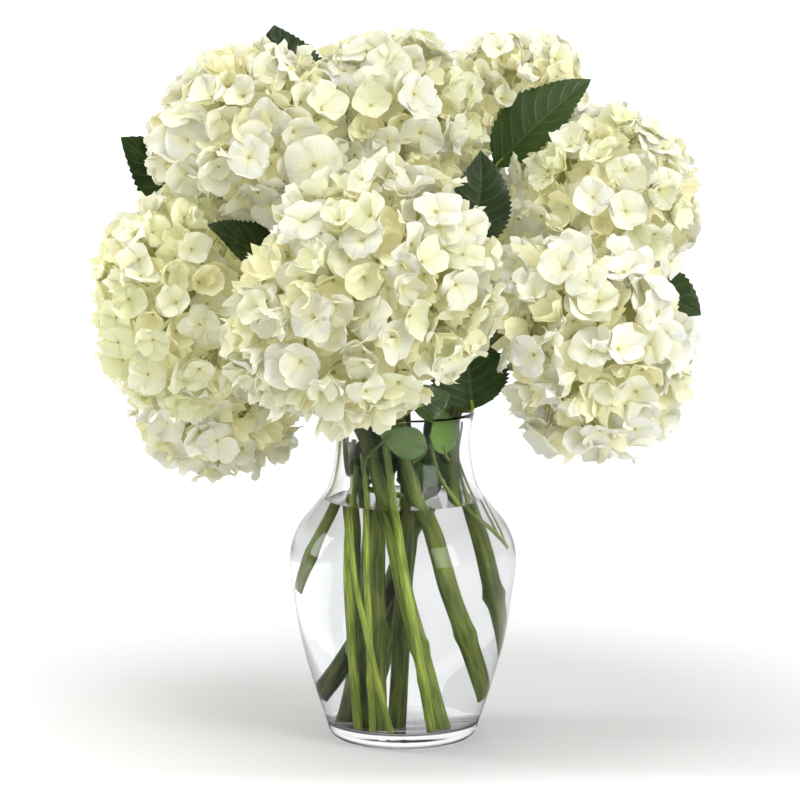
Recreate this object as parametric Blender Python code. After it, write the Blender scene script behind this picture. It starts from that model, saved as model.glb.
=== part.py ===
"""A clear glass vase of white hydrangeas standing in water, with their leafy stems.

Metres, +Z up. The origin is the centre of the vase's flat base, on the surface it stands on, and -Y is the front.
"""

import math
import random
from collections import namedtuple

import bmesh
import bpy
from mathutils import Matrix, Vector
from mathutils.bvhtree import BVHTree

# Driving dimensions of the vase and its water
BASE_RADIUS = 0.0395
VASE_HEIGHT = 0.200
WALL = 0.003
FLOOR = 0.009
WATER_LEVEL = 0.146
GAP = 0.0003
TURN_STEPS = 28

# Where the vase's outside passes, as height and radius: foot, belly, shoulder, neck and flared rim
SIDE = [
    (0.008, 0.0463),
    (0.029, 0.0533),
    (0.058, 0.0617),
    (0.086, 0.0664),
    (0.112, 0.0689),
    (0.129, 0.0639),
    (0.1435, 0.0526),
    (0.154, 0.0455),
    (0.168, 0.0420),
    (0.184, 0.0407),
    (VASE_HEIGHT, 0.0434),
]

# Heights where the vase's side gets a ring of points, outside and inside
OUTER_LEVELS = [0.029, 0.062, 0.092, 0.112, 0.126, 0.137, 0.146, 0.156, 0.170, 0.184]
INNER_LEVELS = [0.029, 0.062, 0.095, 0.114, 0.128, 0.141, 0.154, 0.169, 0.184, 0.194]

# The rounded corners of the vase's foot, outside, and of its floor, inside, as radius and height
HEEL = [(BASE_RADIUS, 0.0), (BASE_RADIUS + 0.0046, 0.0024)]
FLOOR_CORNER = [(0.0360, FLOOR), (0.0432, FLOOR + 0.0045)]
RIM_FLAT = 0.002

# Levels where the stems are guided: the rim, the neck, and the floor of the vase
COLLAR_Z = 0.196
NECK_Z = 0.166
FOOT_Z = FLOOR + GAP

# Stems: where the rings of points lie along them, and the swollen node where a leaf once sat
STEM_SIDES = 6
SHOOT_SIDES = 5
STEM_RINGS = [0.0, 0.09, 0.2, 0.32, 0.45, 0.6, 1.0]
STRAIGHT_UNDER_HEAD = 0.016
TIP_SHARE = 0.82
NODE_AT = 0.80
NODE_REACH = 0.004
NODE_SWELL = 1.3
HOLE_RUN_ON = 0.004
HOLE_GAP = 0.00045

# Leaves: a toothed blade on a thin stalk
BLADE = 0.0009
LARGE_LEAF = 0.030
LARGE_LEAF_TEETH = 6
SMALL_LEAF_TEETH = 4
TOOTH_REACH = 1.08
NOTCH_REACH = 0.88
PETIOLE = 0.0013
STALK_SAG = 0.001
STALK_ON_BLADE = 0.006

# Heads: florets of four sepals on a smaller core, over the part of a ball that its stem doesn't take.
# Heights are shares of the head's radius, and spreads are shares of a floret's half width.
FLORET_WIDTH = 0.0395
FLORET_CROWDING = 1.16
FLORET_ZONE = math.radians(126)
CORE_SHARE = 0.79
NECK_SPREAD = 0.24
EYE_HEIGHT = 0.90
SEPALS = 4
NOTCH_SPREAD, NOTCH_HEIGHT = 0.60, 0.925
SHOULDER_SPREAD, SHOULDER_HEIGHT, SHOULDER_ANGLE = 1.06, 0.985, 0.44
TIP_SPREAD, TIP_HEIGHT = 1.17, 0.955
MOST_SPREAD = 1.35
CELL_SHARE = 0.955
PRESSED_FLORETS = (1.0, 0.85, 0.7, 0.55, 0.4)
HEAD_GAP = 0.0011

# Where a head sits on its stem
RECEPTACLE_SHARE = 0.86
RECEPTACLE_RADIUS = 0.0065
COLLAR_RING = math.radians(133)
COLLAR_RING_POINTS = 9

Bloom = namedtuple("Bloom", "name centre radius stretch lean rise collar neck foot girth")
Shoot = namedtuple("Shoot", "name route girth")
Leaf = namedtuple("Leaf", "stem joins base bend tip width facing fold")

# Each head with its stem. A head is drawn out by stretch along a line that leans right of upright, in degrees.
# Collar, neck and foot are where the stem passes, as degrees round the vase, radius and for the foot its height.
# Rise is how far above the collar the head looks back to: the more it rises, the more the head nods.
BLOOMS = [
    Bloom("crown_left", (-0.0913, 0.015, 0.3600), 0.0580, 1.08, 50, 0.012,
          (166, 0.016), (178, 0.013), (237, 0.022, FOOT_Z), 0.0043),
    Bloom("crown_middle", (-0.0090, 0.045, 0.3735), 0.0555, 1.0, 0, 0.012,
          (80, 0.006), (30, 0.003), (200, 0.003, FOOT_Z), 0.0042),
    Bloom("crown_right", (0.0711, 0.100, 0.3860), 0.0430, 1.0, 0, 0.012,
          (54, 0.030), (60, 0.028), (138, 0.022, FOOT_Z), 0.0036),
    Bloom("right_upper", (0.1225, 0.045, 0.3224), 0.0575, 1.03, 80, 0.012,
          (20, 0.0295), (26, 0.028), (160, 0.038, 0.026), 0.0045),
    Bloom("right_lower", (0.1100, -0.020, 0.2420), 0.0605, 1.12, -35, 0.022,
          (-13, 0.0310), (-9, 0.029), (8, 0.050, 0.052), 0.0049),
    Bloom("front", (-0.0240, -0.088, 0.2775), 0.0695, 1.17, 50, 0.012,
          (-97, 0.0275), (-82, 0.025), (-3, 0.0415, 0.026), 0.0052),
    Bloom("left", (-0.1320, -0.012, 0.2664), 0.0535, 1.20, -10, 0.024,
          (192, 0.0300), (235, 0.028), (322, 0.0255, FOOT_Z), 0.0046),
    Bloom("back_left", (-0.1150, 0.062, 0.2080), 0.0560, 1.0, 0, 0.036,
          (143, 0.0305), (150, 0.0285), (202, 0.0215, FOOT_Z), 0.0042),
    Bloom("back", (0.0120, 0.130, 0.2880), 0.0650, 1.0, 0, 0.012,
          (99, 0.0310), (108, 0.0275), (130, 0.0305, FOOT_Z), 0.0046),
]

# Thinner side shoots that stand in the vase, from their tip down to their cut end
SHOOTS = [
    Shoot("side_left", [(-0.022, 0.006, 0.187), (-0.0275, 0.001, 0.160),
                 (-0.038, -0.004, 0.127), (-0.054, -0.004, 0.092)], 0.0036),
    Shoot("slim_left", [(-0.0305, -0.006, 0.182), (-0.0300, -0.011, 0.165),
                 (-0.0275, -0.021, 0.100), (-0.0235, -0.0205, FOOT_Z)], 0.0024),
    Shoot("slim_middle", [(-0.0235, -0.0255, 0.178), (-0.0205, -0.030, 0.140),
                 (-0.018, -0.0285, 0.090), (-0.0165, -0.0285, FOOT_Z)], 0.0019),
    Shoot("slim_cross", [(-0.027, -0.0235, 0.170), (-0.030, -0.026, 0.145),
                 (-0.0235, -0.0345, 0.095), (-0.0065, -0.0315, FOOT_Z)], 0.0018),
    Shoot("slim_right", [(0.016, -0.028, 0.184), (0.021, -0.027, 0.165),
                 (0.038, -0.020, 0.138), (0.057, -0.010, 0.116)], 0.0014),
    Shoot("front_middle", [(-0.010, -0.030, 0.184), (-0.0045, -0.031, 0.140),
                 (0.0065, -0.032, 0.070), (0.0156, -0.0275, FOOT_Z)], 0.0027),
]

# Each leaf: its stem, the height where its stalk joins, base, bend and tip of the blade,
# and under them its width, the way it faces, and its fold in degrees
LEAVES = [
    Leaf("crown_left", 0.285, (-0.062, 0.070, 0.370), (-0.074, 0.080, 0.405), (-0.080, 0.078, 0.431),
         0.052, (-0.3, -1.0, 0.4), 12),
    Leaf("crown_left", 0.275, (-0.116, 0.062, 0.318), (-0.146, 0.060, 0.338), (-0.173, 0.046, 0.363),
         0.050, (-0.2, -1.0, 0.5), 14),
    Leaf("crown_left", 0.255, (-0.070, -0.012, 0.281), (-0.086, -0.030, 0.299), (-0.114, -0.058, 0.317),
         0.042, (0.2, -1.0, 0.9), 10),
    Leaf("crown_right", 0.300, (0.058, 0.058, 0.345), (0.086, 0.054, 0.376), (0.116, 0.062, 0.398),
         0.044, (-0.5, -1.0, 0.7), 20),
    Leaf("crown_middle", 0.290, (0.038, 0.004, 0.300), (0.048, -0.004, 0.330), (0.046, -0.014, 0.358),
         0.040, (0.2, -1.0, 0.3), 14),
    Leaf("right_upper", 0.255, (0.126, 0.062, 0.258), (0.160, 0.054, 0.270), (0.184, 0.040, 0.254),
         0.050, (0.2, -1.0, 0.3), 14),
    Leaf("right_lower", 0.202, (0.0415, -0.027, 0.205), (0.038, -0.034, 0.232), (0.036, -0.034, 0.258),
         0.046, (0.1, -1.0, 0.15), 10),
    Leaf("right_lower", 0.170, (0.0245, -0.0215, 0.177), (0.0235, -0.0235, 0.192), (0.0205, -0.0245, 0.209),
         0.023, (0.7, -0.7, 0.1), 6),
    Leaf("front", 0.170, (0.0135, -0.0335, 0.182), (0.001, -0.0338, 0.186), (-0.0145, -0.0325, 0.192),
         0.020, (0.0, -1.0, 0.0), 0),
    Leaf("front", 0.201, (0.006, -0.046, 0.208), (0.016, -0.046, 0.212), (0.028, -0.044, 0.216),
         0.022, (0.0, -1.0, 0.2), 8),
    Leaf("right_upper", 0.262, (0.084, 0.088, 0.306), (0.098, 0.112, 0.316), (0.100, 0.140, 0.302),
         0.048, (0.3, 0.5, 1.0), 12),
    Leaf("back", 0.235, (-0.042, 0.105, 0.330), (-0.066, 0.120, 0.342), (-0.086, 0.132, 0.332),
         0.048, (-0.3, 1.0, 0.8), 12),
    Leaf("back", 0.225, (0.020, 0.100, 0.216), (0.026, 0.136, 0.222), (0.024, 0.166, 0.204),
         0.048, (0.1, 0.5, 1.0), 12),
    Leaf("back_left", 0.228, (-0.040, 0.100, 0.212), (-0.042, 0.130, 0.218), (-0.048, 0.156, 0.200),
         0.044, (-0.2, 0.5, 1.0), 12),
]


def clear_scene():
    """Starts from an empty scene."""
    for thing in list(bpy.data.objects):
        bpy.data.objects.remove(thing)


def finish(name, colour, roughness, transmission=0.0, alpha=1.0):
    """A plain material with the piece's own colour."""
    material = bpy.data.materials.new(name)
    material.use_nodes = True
    shader = material.node_tree.nodes["Principled BSDF"]
    shader.inputs["Base Color"].default_value = (*colour, 1.0)
    shader.inputs["Roughness"].default_value = roughness
    shader.inputs["Metallic"].default_value = 0.0
    shader.inputs["Transmission Weight"].default_value = transmission
    shader.inputs["Alpha"].default_value = alpha
    material.diffuse_color = (*colour, alpha)
    return material


def add_object(name, points, faces, material):
    """A mesh object from points and faces, turned outward and shaded smooth over shallow edges."""
    shape = bmesh.new()
    verts = [shape.verts.new(p) for p in points]
    for face in faces:
        shape.faces.new([verts[v] for v in face])
    bmesh.ops.delete(shape, geom=[v for v in verts if not v.link_faces], context="VERTS")
    bmesh.ops.recalc_face_normals(shape, faces=shape.faces)
    mesh = bpy.data.meshes.new(name)
    shape.to_mesh(mesh)
    shape.free()
    mesh.materials.append(material)
    mesh.shade_smooth()
    mesh.set_sharp_from_angle(angle=math.radians(40))
    thing = bpy.data.objects.new(name, mesh)
    bpy.context.scene.collection.objects.link(thing)
    return thing


def polar(degrees, radius, z):
    """A point at that bearing and radius round the vase's axis."""
    angle = math.radians(degrees)
    return Vector((radius * math.cos(angle), radius * math.sin(angle), z))


def side_radius(z):
    """The vase's outer radius at height z, on a smooth curve through SIDE."""
    heights = [s[0] for s in SIDE]
    radii = [s[1] for s in SIDE]
    last = len(SIDE) - 1
    slopes = []
    for i in range(len(SIDE)):
        low, high = max(i - 1, 0), min(i + 1, last)
        slopes.append((radii[high] - radii[low]) / (heights[high] - heights[low]))
    i = max(k for k in range(last) if heights[k] <= max(z, heights[0]))
    step = heights[i + 1] - heights[i]
    t = min(max((z - heights[i]) / step, 0.0), 1.0)
    return (
        (2 * t**3 - 3 * t**2 + 1) * radii[i]
        + (t**3 - 2 * t**2 + t) * step * slopes[i]
        + (3 * t**2 - 2 * t**3) * radii[i + 1]
        + (t**3 - t**2) * step * slopes[i + 1]
    )


def inner_radius(z):
    """The vase's inner radius at height z, the wall's thickness inside the outer one."""
    rise = 0.001
    slope = (side_radius(z + rise) - side_radius(z - rise)) / (2 * rise)
    return side_radius(z) - WALL * math.hypot(1.0, slope)


def turned(name, profile, material):
    """A solid turned round the Z axis from a profile of radius and height that starts and ends on the axis."""
    shape = bmesh.new()
    ring = [shape.verts.new((radius, 0.0, z)) for radius, z in profile]
    edges = [shape.edges.new(pair) for pair in zip(ring, ring[1:])]
    bmesh.ops.spin(
        shape,
        geom=ring + edges,
        axis=(0, 0, 1),
        cent=(0, 0, 0),
        steps=TURN_STEPS,
        angle=math.tau,
        use_merge=True,
    )
    bmesh.ops.remove_doubles(shape, verts=shape.verts, dist=1e-6)
    bmesh.ops.recalc_face_normals(shape, faces=shape.faces)
    points = [v.co.copy() for v in shape.verts]
    faces = [[v.index for v in f.verts] for f in shape.faces]
    shape.free()
    return add_object(name, points, faces, material)


def make_vase(material):
    """The glass: a flat foot with a rounded heel, a full belly, a drawn neck and a flared rim."""
    rim_middle = side_radius(VASE_HEIGHT) - WALL / 2
    profile = [(0.0, 0.0), *HEEL, (SIDE[0][1], SIDE[0][0])]
    profile += [(side_radius(z), z) for z in OUTER_LEVELS]
    profile += [(rim_middle + RIM_FLAT / 2, VASE_HEIGHT), (rim_middle - RIM_FLAT / 2, VASE_HEIGHT)]
    profile += [(inner_radius(z), z) for z in reversed(INNER_LEVELS)]
    profile += [*reversed(FLOOR_CORNER), (0.0, FLOOR)]
    return turned("vase", profile, material)


def make_water(material):
    """The water fills the vase up to its shoulder, a hair clear of the glass."""
    (flat, _), (corner, corner_z) = FLOOR_CORNER
    levels = [z for z in INNER_LEVELS if z < WATER_LEVEL] + [WATER_LEVEL]
    profile = [(0.0, FOOT_Z), (flat, FOOT_Z), (corner - GAP, corner_z + GAP)]
    profile += [(inner_radius(z) - GAP, z) for z in levels]
    profile += [(0.0, WATER_LEVEL)]
    return turned("water", profile, material)


def smooth_route(points, steps=24):
    """A dense smooth curve through the points, a cubic between each pair with the slope of their neighbours."""
    ends = [2 * points[0] - points[1], *points, 2 * points[-1] - points[-2]]
    route = []
    for before, start, end, after in zip(ends, ends[1:], ends[2:], ends[3:]):
        span = (end - start).length
        slope_in = (end - before) / (end - before).length * span
        slope_out = (after - start) / (after - start).length * span
        for k in range(steps):
            t = k / steps
            route.append(
                (2 * t**3 - 3 * t**2 + 1) * start
                + (t**3 - 2 * t**2 + t) * slope_in
                + (3 * t**2 - 2 * t**3) * end
                + (t**3 - t**2) * slope_out
            )
    route.append(points[-1].copy())
    return route


def lengths_along(route):
    """The distance along the route at each of its points."""
    total = [0.0]
    for a, b in zip(route, route[1:]):
        total.append(total[-1] + (b - a).length)
    return total


def point_at(route, lengths, distance):
    """The point of the route that lies that far along it."""
    distance = min(max(distance, 0.0), lengths[-1])
    i = max(k for k in range(len(route) - 1) if lengths[k] <= distance)
    share = (distance - lengths[i]) / max(lengths[i + 1] - lengths[i], 1e-9)
    return route[i].lerp(route[i + 1], share)


def direction_at(route, lengths, distance):
    """The direction of the route there."""
    step = 0.0005
    ahead = point_at(route, lengths, distance + step)
    return (ahead - point_at(route, lengths, distance - step)).normalized()


def tube(centres, radii, sides, tangents, flat_end=None):
    """Points and faces of a closed tube. With flat_end, its last ring is cut level at that height."""
    points, faces = [], []
    across = tangents[0].orthogonal().normalized()
    for i, (centre, radius) in enumerate(zip(centres, radii)):
        across = (across - tangents[i] * across.dot(tangents[i])).normalized()
        up = tangents[i].cross(across)
        for k in range(sides):
            angle = math.tau * k / sides
            point = centre + (across * math.cos(angle) + up * math.sin(angle)) * radius
            if flat_end is not None and i == len(centres) - 1:
                point += tangents[i] * ((flat_end - point.z) / tangents[i].z)
            points.append(point)
    for i in range(len(centres) - 1):
        for k in range(sides):
            a, b = i * sides + k, i * sides + (k + 1) % sides
            faces.append([a, b, b + sides, a + sides])
    faces.append([*range(sides)][::-1])
    faces.append([*range((len(centres) - 1) * sides, len(centres) * sides)])
    return points, faces


def head_axis(bloom):
    """The way a head faces: straight away from where its stem passes the rim."""
    return (Vector(bloom.centre) - polar(*bloom.collar, COLLAR_Z + bloom.rise)).normalized()


def bloom_route(bloom):
    """A head's stem: from under the head, over the collar, through the neck and down to its foot."""
    away = head_axis(bloom)
    top = Vector(bloom.centre) - away * (bloom.radius * RECEPTACLE_SHARE + GAP)
    return smooth_route(
        [
            top,
            top - away * STRAIGHT_UNDER_HEAD,
            polar(*bloom.collar, COLLAR_Z),
            polar(*bloom.neck, NECK_Z),
            polar(*bloom.foot),
        ]
    )


def stem_tube(route, girth, sides, grow=0.0):
    """A stem along its route, thicker at its foot, with one swollen node where a leaf once sat.

    A stem that stands on the vase's floor is cut level there, and any other is cut square.
    With grow it is the hole that the stem stands in, run on past the stem's foot.
    """
    lengths = lengths_along(route)
    total = lengths[-1]
    node = NODE_AT * total
    stations = [(share * total, 1.0) for share in STEM_RINGS]
    stations += [(node - NODE_REACH, 1.0), (node, NODE_SWELL), (node + NODE_REACH, 1.0)]
    stations.sort()
    centres = [point_at(route, lengths, distance) for distance, _ in stations]
    tangents = [direction_at(route, lengths, distance) for distance, _ in stations]
    radii = [girth * (TIP_SHARE + (1 - TIP_SHARE) * distance / total) * swell + grow for distance, swell in stations]
    if grow:
        centres[-1] = centres[-1] + tangents[-1] * HOLE_RUN_ON
        return tube(centres, radii, sides, tangents)
    flat_end = FOOT_Z if abs(route[-1].z - FOOT_Z) < GAP else None
    return tube(centres, radii, sides, tangents, flat_end)


def leaf_frame(leaf, t):
    """A place on a leaf's midrib, from 0 at its base to 1 at its tip, with its sideways and upward directions."""
    base, bend, tip = Vector(leaf.base), Vector(leaf.bend), Vector(leaf.tip)
    place = (1 - t) ** 2 * base + 2 * t * (1 - t) * bend + t**2 * tip
    along = (2 * (1 - t) * (bend - base) + 2 * t * (tip - bend)).normalized()
    side = along.cross(Vector(leaf.facing)).normalized()
    return place, side, side.cross(along)


def leaf_half_width(leaf, t):
    """Half the blade's width there: an oval, broadest below its middle."""
    if t == 0.0:
        return PETIOLE
    return 0.5 * leaf.width * math.sin(math.pi * t**0.72) ** 0.85


def leaf_blade(leaf):
    """A toothed, folded blade: points and faces of a closed plate whose two faces are split alike."""
    fold = math.tan(math.radians(leaf.fold))
    teeth = LARGE_LEAF_TEETH if leaf.width > LARGE_LEAF else SMALL_LEAF_TEETH
    sheet, normals, faces = [], [], []

    def add(t, side_sign=0, reach=0.0):
        place, side, up = leaf_frame(leaf, t)
        out = leaf_half_width(leaf, t) * reach if side_sign else 0.0
        sheet.append(place + side * side_sign * out + up * fold * out)
        normals.append(up)
        return len(sheet) - 1

    ribs = [add(j / teeth) for j in range(teeth + 1)]
    for sign in (-1, 1):
        notch = add(0.0, sign, 1.0)
        for j in range(teeth):
            tooth = add((j + 0.62) / teeth, sign, TOOTH_REACH)
            corners = [[ribs[j], notch, tooth], [ribs[j], tooth, ribs[j + 1]]]
            if j < teeth - 1:
                notch = add((j + 1) / teeth, sign, NOTCH_REACH)
                corners.append([ribs[j + 1], tooth, notch])
            faces += corners if sign < 0 else [corner[::-1] for corner in corners]
    return thicken(sheet, normals, faces, BLADE)


def thicken(sheet, normals, faces, thickness):
    """Turns a sheet of triangles into a closed plate, with the same split on both faces."""
    count = len(sheet)
    points = [p + n * thickness / 2 for p, n in zip(sheet, normals)]
    points += [p - n * thickness / 2 for p, n in zip(sheet, normals)]
    flipped = [[v + count for v in reversed(face)] for face in faces]
    directed = {(a, b) for face in faces for a, b in zip(face, face[1:] + face[:1])}
    rim = []
    for a, b in directed:
        if (b, a) not in directed:
            rim += [[a, a + count, b], [b, a + count, b + count]]
    return points, faces + flipped + sorted(rim)


def apply_boolean(thing, operation, pieces, material):
    """Joins pieces of points and faces to the object, or cuts them from it, and leaves the result alone."""
    group = bpy.data.collections.new(thing.name + "_pieces")
    bpy.context.scene.collection.children.link(group)
    for i, (points, faces) in enumerate(pieces):
        piece = add_object(f"{thing.name}_piece_{i}", points, faces, material)
        bpy.context.scene.collection.objects.unlink(piece)
        group.objects.link(piece)
    change = thing.modifiers.new("pieces", "BOOLEAN")
    change.operation = operation
    change.operand_type = "COLLECTION"
    change.collection = group
    change.solver = "MANIFOLD"
    graph = bpy.context.evaluated_depsgraph_get()
    changed = bpy.data.meshes.new_from_object(thing.evaluated_get(graph))
    thing.modifiers.clear()
    thing.data = changed
    for piece in list(group.objects):
        bpy.data.objects.remove(piece)
    bpy.data.collections.remove(group)


def leaf_stalk(leaf, route):
    """A leaf's stalk, from inside its stem to a little way onto the blade."""
    start = min(route, key=lambda p: abs(p.z - leaf.joins))
    base, bend = Vector(leaf.base), Vector(leaf.bend)
    middle = start.lerp(base, 0.5) - Vector((0, 0, STALK_SAG))
    centres = [start, middle, base, base + (bend - base).normalized() * STALK_ON_BLADE]
    tangents = [(b - a).normalized() for a, b in zip(centres[:1] + centres, centres[1:] + centres[-1:])]
    return tube(centres, [PETIOLE] * len(centres), 4, tangents)


def make_stem(name, route, girth, sides, material):
    """One stem with the leaves that grow from it, as one green solid."""
    points, faces = stem_tube(route, girth, sides)
    thing = add_object("stem_" + name, points, faces, material)
    own = [leaf for leaf in LEAVES if leaf.stem == name]
    if own:
        pieces = [leaf_blade(leaf) for leaf in own] + [leaf_stalk(leaf, route) for leaf in own]
        apply_boolean(thing, "UNION", pieces, material)
    return thing


def tree_of(things):
    """One search tree over the faces of several objects."""
    points, faces = [], []
    for thing in things:
        offset = len(points)
        points += [v.co.copy() for v in thing.data.vertices]
        faces += [[offset + v for v in f.vertices] for f in thing.data.polygons]
    return BVHTree.FromPolygons(points, faces)


def head_planes(bloom):
    """The planes that part this head from its neighbours: each as a direction and its distance from the centre."""
    planes = []
    here = Vector(bloom.centre)
    for other in BLOOMS:
        if other is bloom:
            continue
        between = Vector(other.centre) - here
        apart = between.length
        if apart < (bloom.radius + other.radius) * 1.25:
            share = (apart**2 + bloom.radius**2 - other.radius**2) / (2 * apart)
            planes.append((between / apart, share - HEAD_GAP / 2))
    return planes


def head_surface(bloom):
    """How a head fills space: a function that gives the point at a radius along a direction in the head's own frame.

    The ball is turned to face along its axis and drawn out, and stops short of the neighbouring heads.
    """
    centre = Vector(bloom.centre)
    lean = math.radians(bloom.lean)
    turn = head_axis(bloom).to_track_quat("Z", "Y").to_matrix()
    shape = Matrix.Scale(bloom.stretch, 3, (math.sin(lean), 0.0, math.cos(lean))) @ turn
    planes = head_planes(bloom)

    def out(way, radius):
        line = shape @ way
        for normal, distance in planes:
            ahead = line.dot(normal)
            if ahead > 1e-6:
                radius = min(radius, distance / ahead)
        return centre + line * radius

    return out


def floret_directions(bloom, dice):
    """Directions spread evenly over the part of a head that carries florets, in the head's own frame, +Z outward."""
    depth = 1 - math.cos(FLORET_ZONE)
    count = round(2 * math.pi * depth * bloom.radius**2 / FLORET_WIDTH**2 * FLORET_CROWDING)
    golden_turn = math.pi * (3 - math.sqrt(5))
    found = []
    for i in range(count):
        z = min(1 - depth * (i + 0.5) / count + dice.uniform(-0.02, 0.02), 0.999)
        angle = i * golden_turn + dice.uniform(-0.12, 0.12)
        flat = math.sqrt(1 - z * z)
        found.append(Vector((flat * math.cos(angle), flat * math.sin(angle), z)))
    return found


def cell_reach(way, tangent, others):
    """How far, as an angle, a floret may spread along tangent before it meets a neighbour's half."""
    reach = math.pi / 2
    for other in others:
        ahead = tangent.dot(other)
        if ahead > 1e-6:
            reach = min(reach, math.atan((1 - way.dot(other)) / ahead))
    return reach


def floret_pattern(bloom, way, others, dice):
    """A floret's edge, neck and eye, as directions in the head's frame with heights as shares of its radius.

    The floret is turned and tipped at random, and keeps to its own cell among the others.
    """
    first = way.orthogonal().normalized()
    second = way.cross(first)
    spin = dice.uniform(0, math.tau)
    tip_side = dice.uniform(0, math.tau)
    tip = dice.uniform(0.02, 0.085)
    lift = dice.uniform(-0.035, 0.03)
    half_width = FLORET_WIDTH / 2 / bloom.radius

    def at(angle, share, height):
        tangent = first * math.cos(angle) + second * math.sin(angle)
        limit = min(half_width * MOST_SPREAD, cell_reach(way, tangent, others) * CELL_SHARE)
        spread = min(half_width * share, limit)
        here = way * math.cos(spread) + tangent * math.sin(spread)
        return here, height + lift + tip * math.cos(angle - tip_side) * share

    edge = []
    for k in range(SEPALS):
        middle = spin + k * math.tau / SEPALS
        wave = 0.02 if k % 2 else -0.015
        edge.append(at(middle - math.pi / SEPALS, NOTCH_SPREAD, NOTCH_HEIGHT))
        edge.append(at(middle - SHOULDER_ANGLE, SHOULDER_SPREAD, SHOULDER_HEIGHT + wave))
        edge.append(at(middle, TIP_SPREAD, TIP_HEIGHT + wave * 1.5))
        edge.append(at(middle + SHOULDER_ANGLE, SHOULDER_SPREAD, SHOULDER_HEIGHT - wave))
    neck = [at(spin + (k - 0.5) * math.tau / SEPALS, NECK_SPREAD, 0.0)[0] for k in range(SEPALS)]
    return edge, neck, (way, EYE_HEIGHT + lift)


def place_floret(bloom, out, pattern, obstacles):
    """A floret's edge, neck and eye as points, pressed down where a leaf is in the way, or None if it can't fit."""
    edge, neck, eye = pattern
    root = [out(way, bloom.radius * CORE_SHARE) for way in neck]
    for press in PRESSED_FLORETS:
        rise = [(way, CORE_SHARE + (height - CORE_SHARE) * press) for way, height in [*edge, eye]]
        *rim, middle = [out(way, bloom.radius * height) for way, height in rise]
        if not crosses(rim, middle, root, obstacles):
            return rim, root, middle
    return None


def receptacle(bloom, out):
    """Points under a head: the flat place where its stem ends, and a ring below the last florets."""
    down = -head_axis(bloom)
    side = down.orthogonal().normalized()
    up = down.cross(side)
    seat = Vector(bloom.centre) + down * bloom.radius * RECEPTACLE_SHARE
    points = []
    for k in range(STEM_SIDES):
        angle = math.tau * k / STEM_SIDES
        points.append(seat + (side * math.cos(angle) + up * math.sin(angle)) * RECEPTACLE_RADIUS)
    for k in range(COLLAR_RING_POINTS):
        angle = math.tau * k / COLLAR_RING_POINTS
        flat = math.sin(COLLAR_RING)
        way = Vector((flat * math.cos(angle), flat * math.sin(angle), math.cos(COLLAR_RING)))
        points.append(out(way, bloom.radius * CORE_SHARE))
    return points


def make_bloom(bloom, obstacles, material, dice):
    """A head: a core with four-sepal florets raised from it on short necks, clear of its neighbours and leaves."""
    out = head_surface(bloom)
    ways = floret_directions(bloom, dice)
    florets = []
    for way in ways:
        others = [other for other in ways if other is not way and other.dot(way) > 0.2]
        floret = place_floret(bloom, out, floret_pattern(bloom, way, others, dice), obstacles)
        if floret:
            florets.append(floret)

    points = [p for _, root, _ in florets for p in root] + receptacle(bloom, out)
    faces, open_roots = [], set()
    for face in hull_of(points):
        owners = {v // SEPALS for v in face}
        if len(owners) == 1 and min(owners) < len(florets):
            open_roots |= owners
        else:
            faces.append(face)
    for i in sorted(open_roots):
        rim, _, middle = florets[i]
        faces += floret_faces(len(points), range(SEPALS * i, SEPALS * (i + 1)))
        points += [*rim, middle]
    return add_object("bloom_" + bloom.name, points, faces, material)


def floret_faces(first, neck):
    """The faces of one floret: a fan over its face, and under it the sepals' backs running in to the neck.

    The edge's points are numbered from first on, four to a sepal, and the eye comes after them.
    """
    count = 4 * SEPALS
    edge = range(first, first + count)
    eye = first + count
    faces = [[eye, edge[k], edge[(k + 1) % count]] for k in range(count)]
    for s in range(SEPALS):
        notch, left, tip, right = edge[4 * s : 4 * s + 4]
        after = edge[(4 * s + 4) % count]
        here, there = neck[s], neck[(s + 1) % SEPALS]
        faces += [
            [here, left, notch],
            [here, tip, left],
            [here, there, tip],
            [there, right, tip],
            [there, after, right],
        ]
    return faces


def crosses(edge, middle, root, obstacles):
    """True if a floret's faces pass through any of the obstacles."""
    points = [*edge, middle, *root]
    count = len(edge)
    faces = [[count, k, (k + 1) % count] for k in range(count)]
    faces += [[count + 1 + k // 4, (k + 1) % count, k] for k in range(count)]
    return bool(BVHTree.FromPolygons(points, faces).overlap(obstacles))


def hull_of(points):
    """The triangles of the convex hull of the points, by their numbers, facing out."""
    shape = bmesh.new()
    verts = [shape.verts.new(p) for p in points]
    number = {v: i for i, v in enumerate(verts)}
    bmesh.ops.convex_hull(shape, input=verts)
    bmesh.ops.recalc_face_normals(shape, faces=shape.faces)
    faces = [[number[v] for v in f.verts] for f in shape.faces]
    shape.free()
    return faces


def main():
    clear_scene()
    glass = finish("glass", (0.93, 0.96, 0.95), 0.02, transmission=1.0, alpha=0.35)
    clear_water = finish("water", (0.95, 0.98, 0.98), 0.01, transmission=1.0, alpha=0.35)
    green = finish("green", (0.10, 0.17, 0.045), 0.5)
    petals = finish("petals", (0.86, 0.85, 0.70), 0.6)

    stems = [(bloom.name, bloom_route(bloom), bloom.girth, STEM_SIDES) for bloom in BLOOMS]
    for shoot in SHOOTS:
        stems.append((shoot.name, smooth_route([Vector(p) for p in shoot.route]), shoot.girth, SHOOT_SIDES))
    vase = make_vase(glass)
    water = make_water(clear_water)
    growing = [make_stem(name, route, girth, sides, green) for name, route, girth, sides in stems]
    holes = [stem_tube(route, girth, sides, grow=HOLE_GAP) for _, route, girth, sides in stems]
    apply_boolean(water, "DIFFERENCE", holes, clear_water)

    obstacles = tree_of([vase, *growing])
    for number, bloom in enumerate(BLOOMS):
        make_bloom(bloom, obstacles, petals, random.Random(number + 1))


main()
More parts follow.
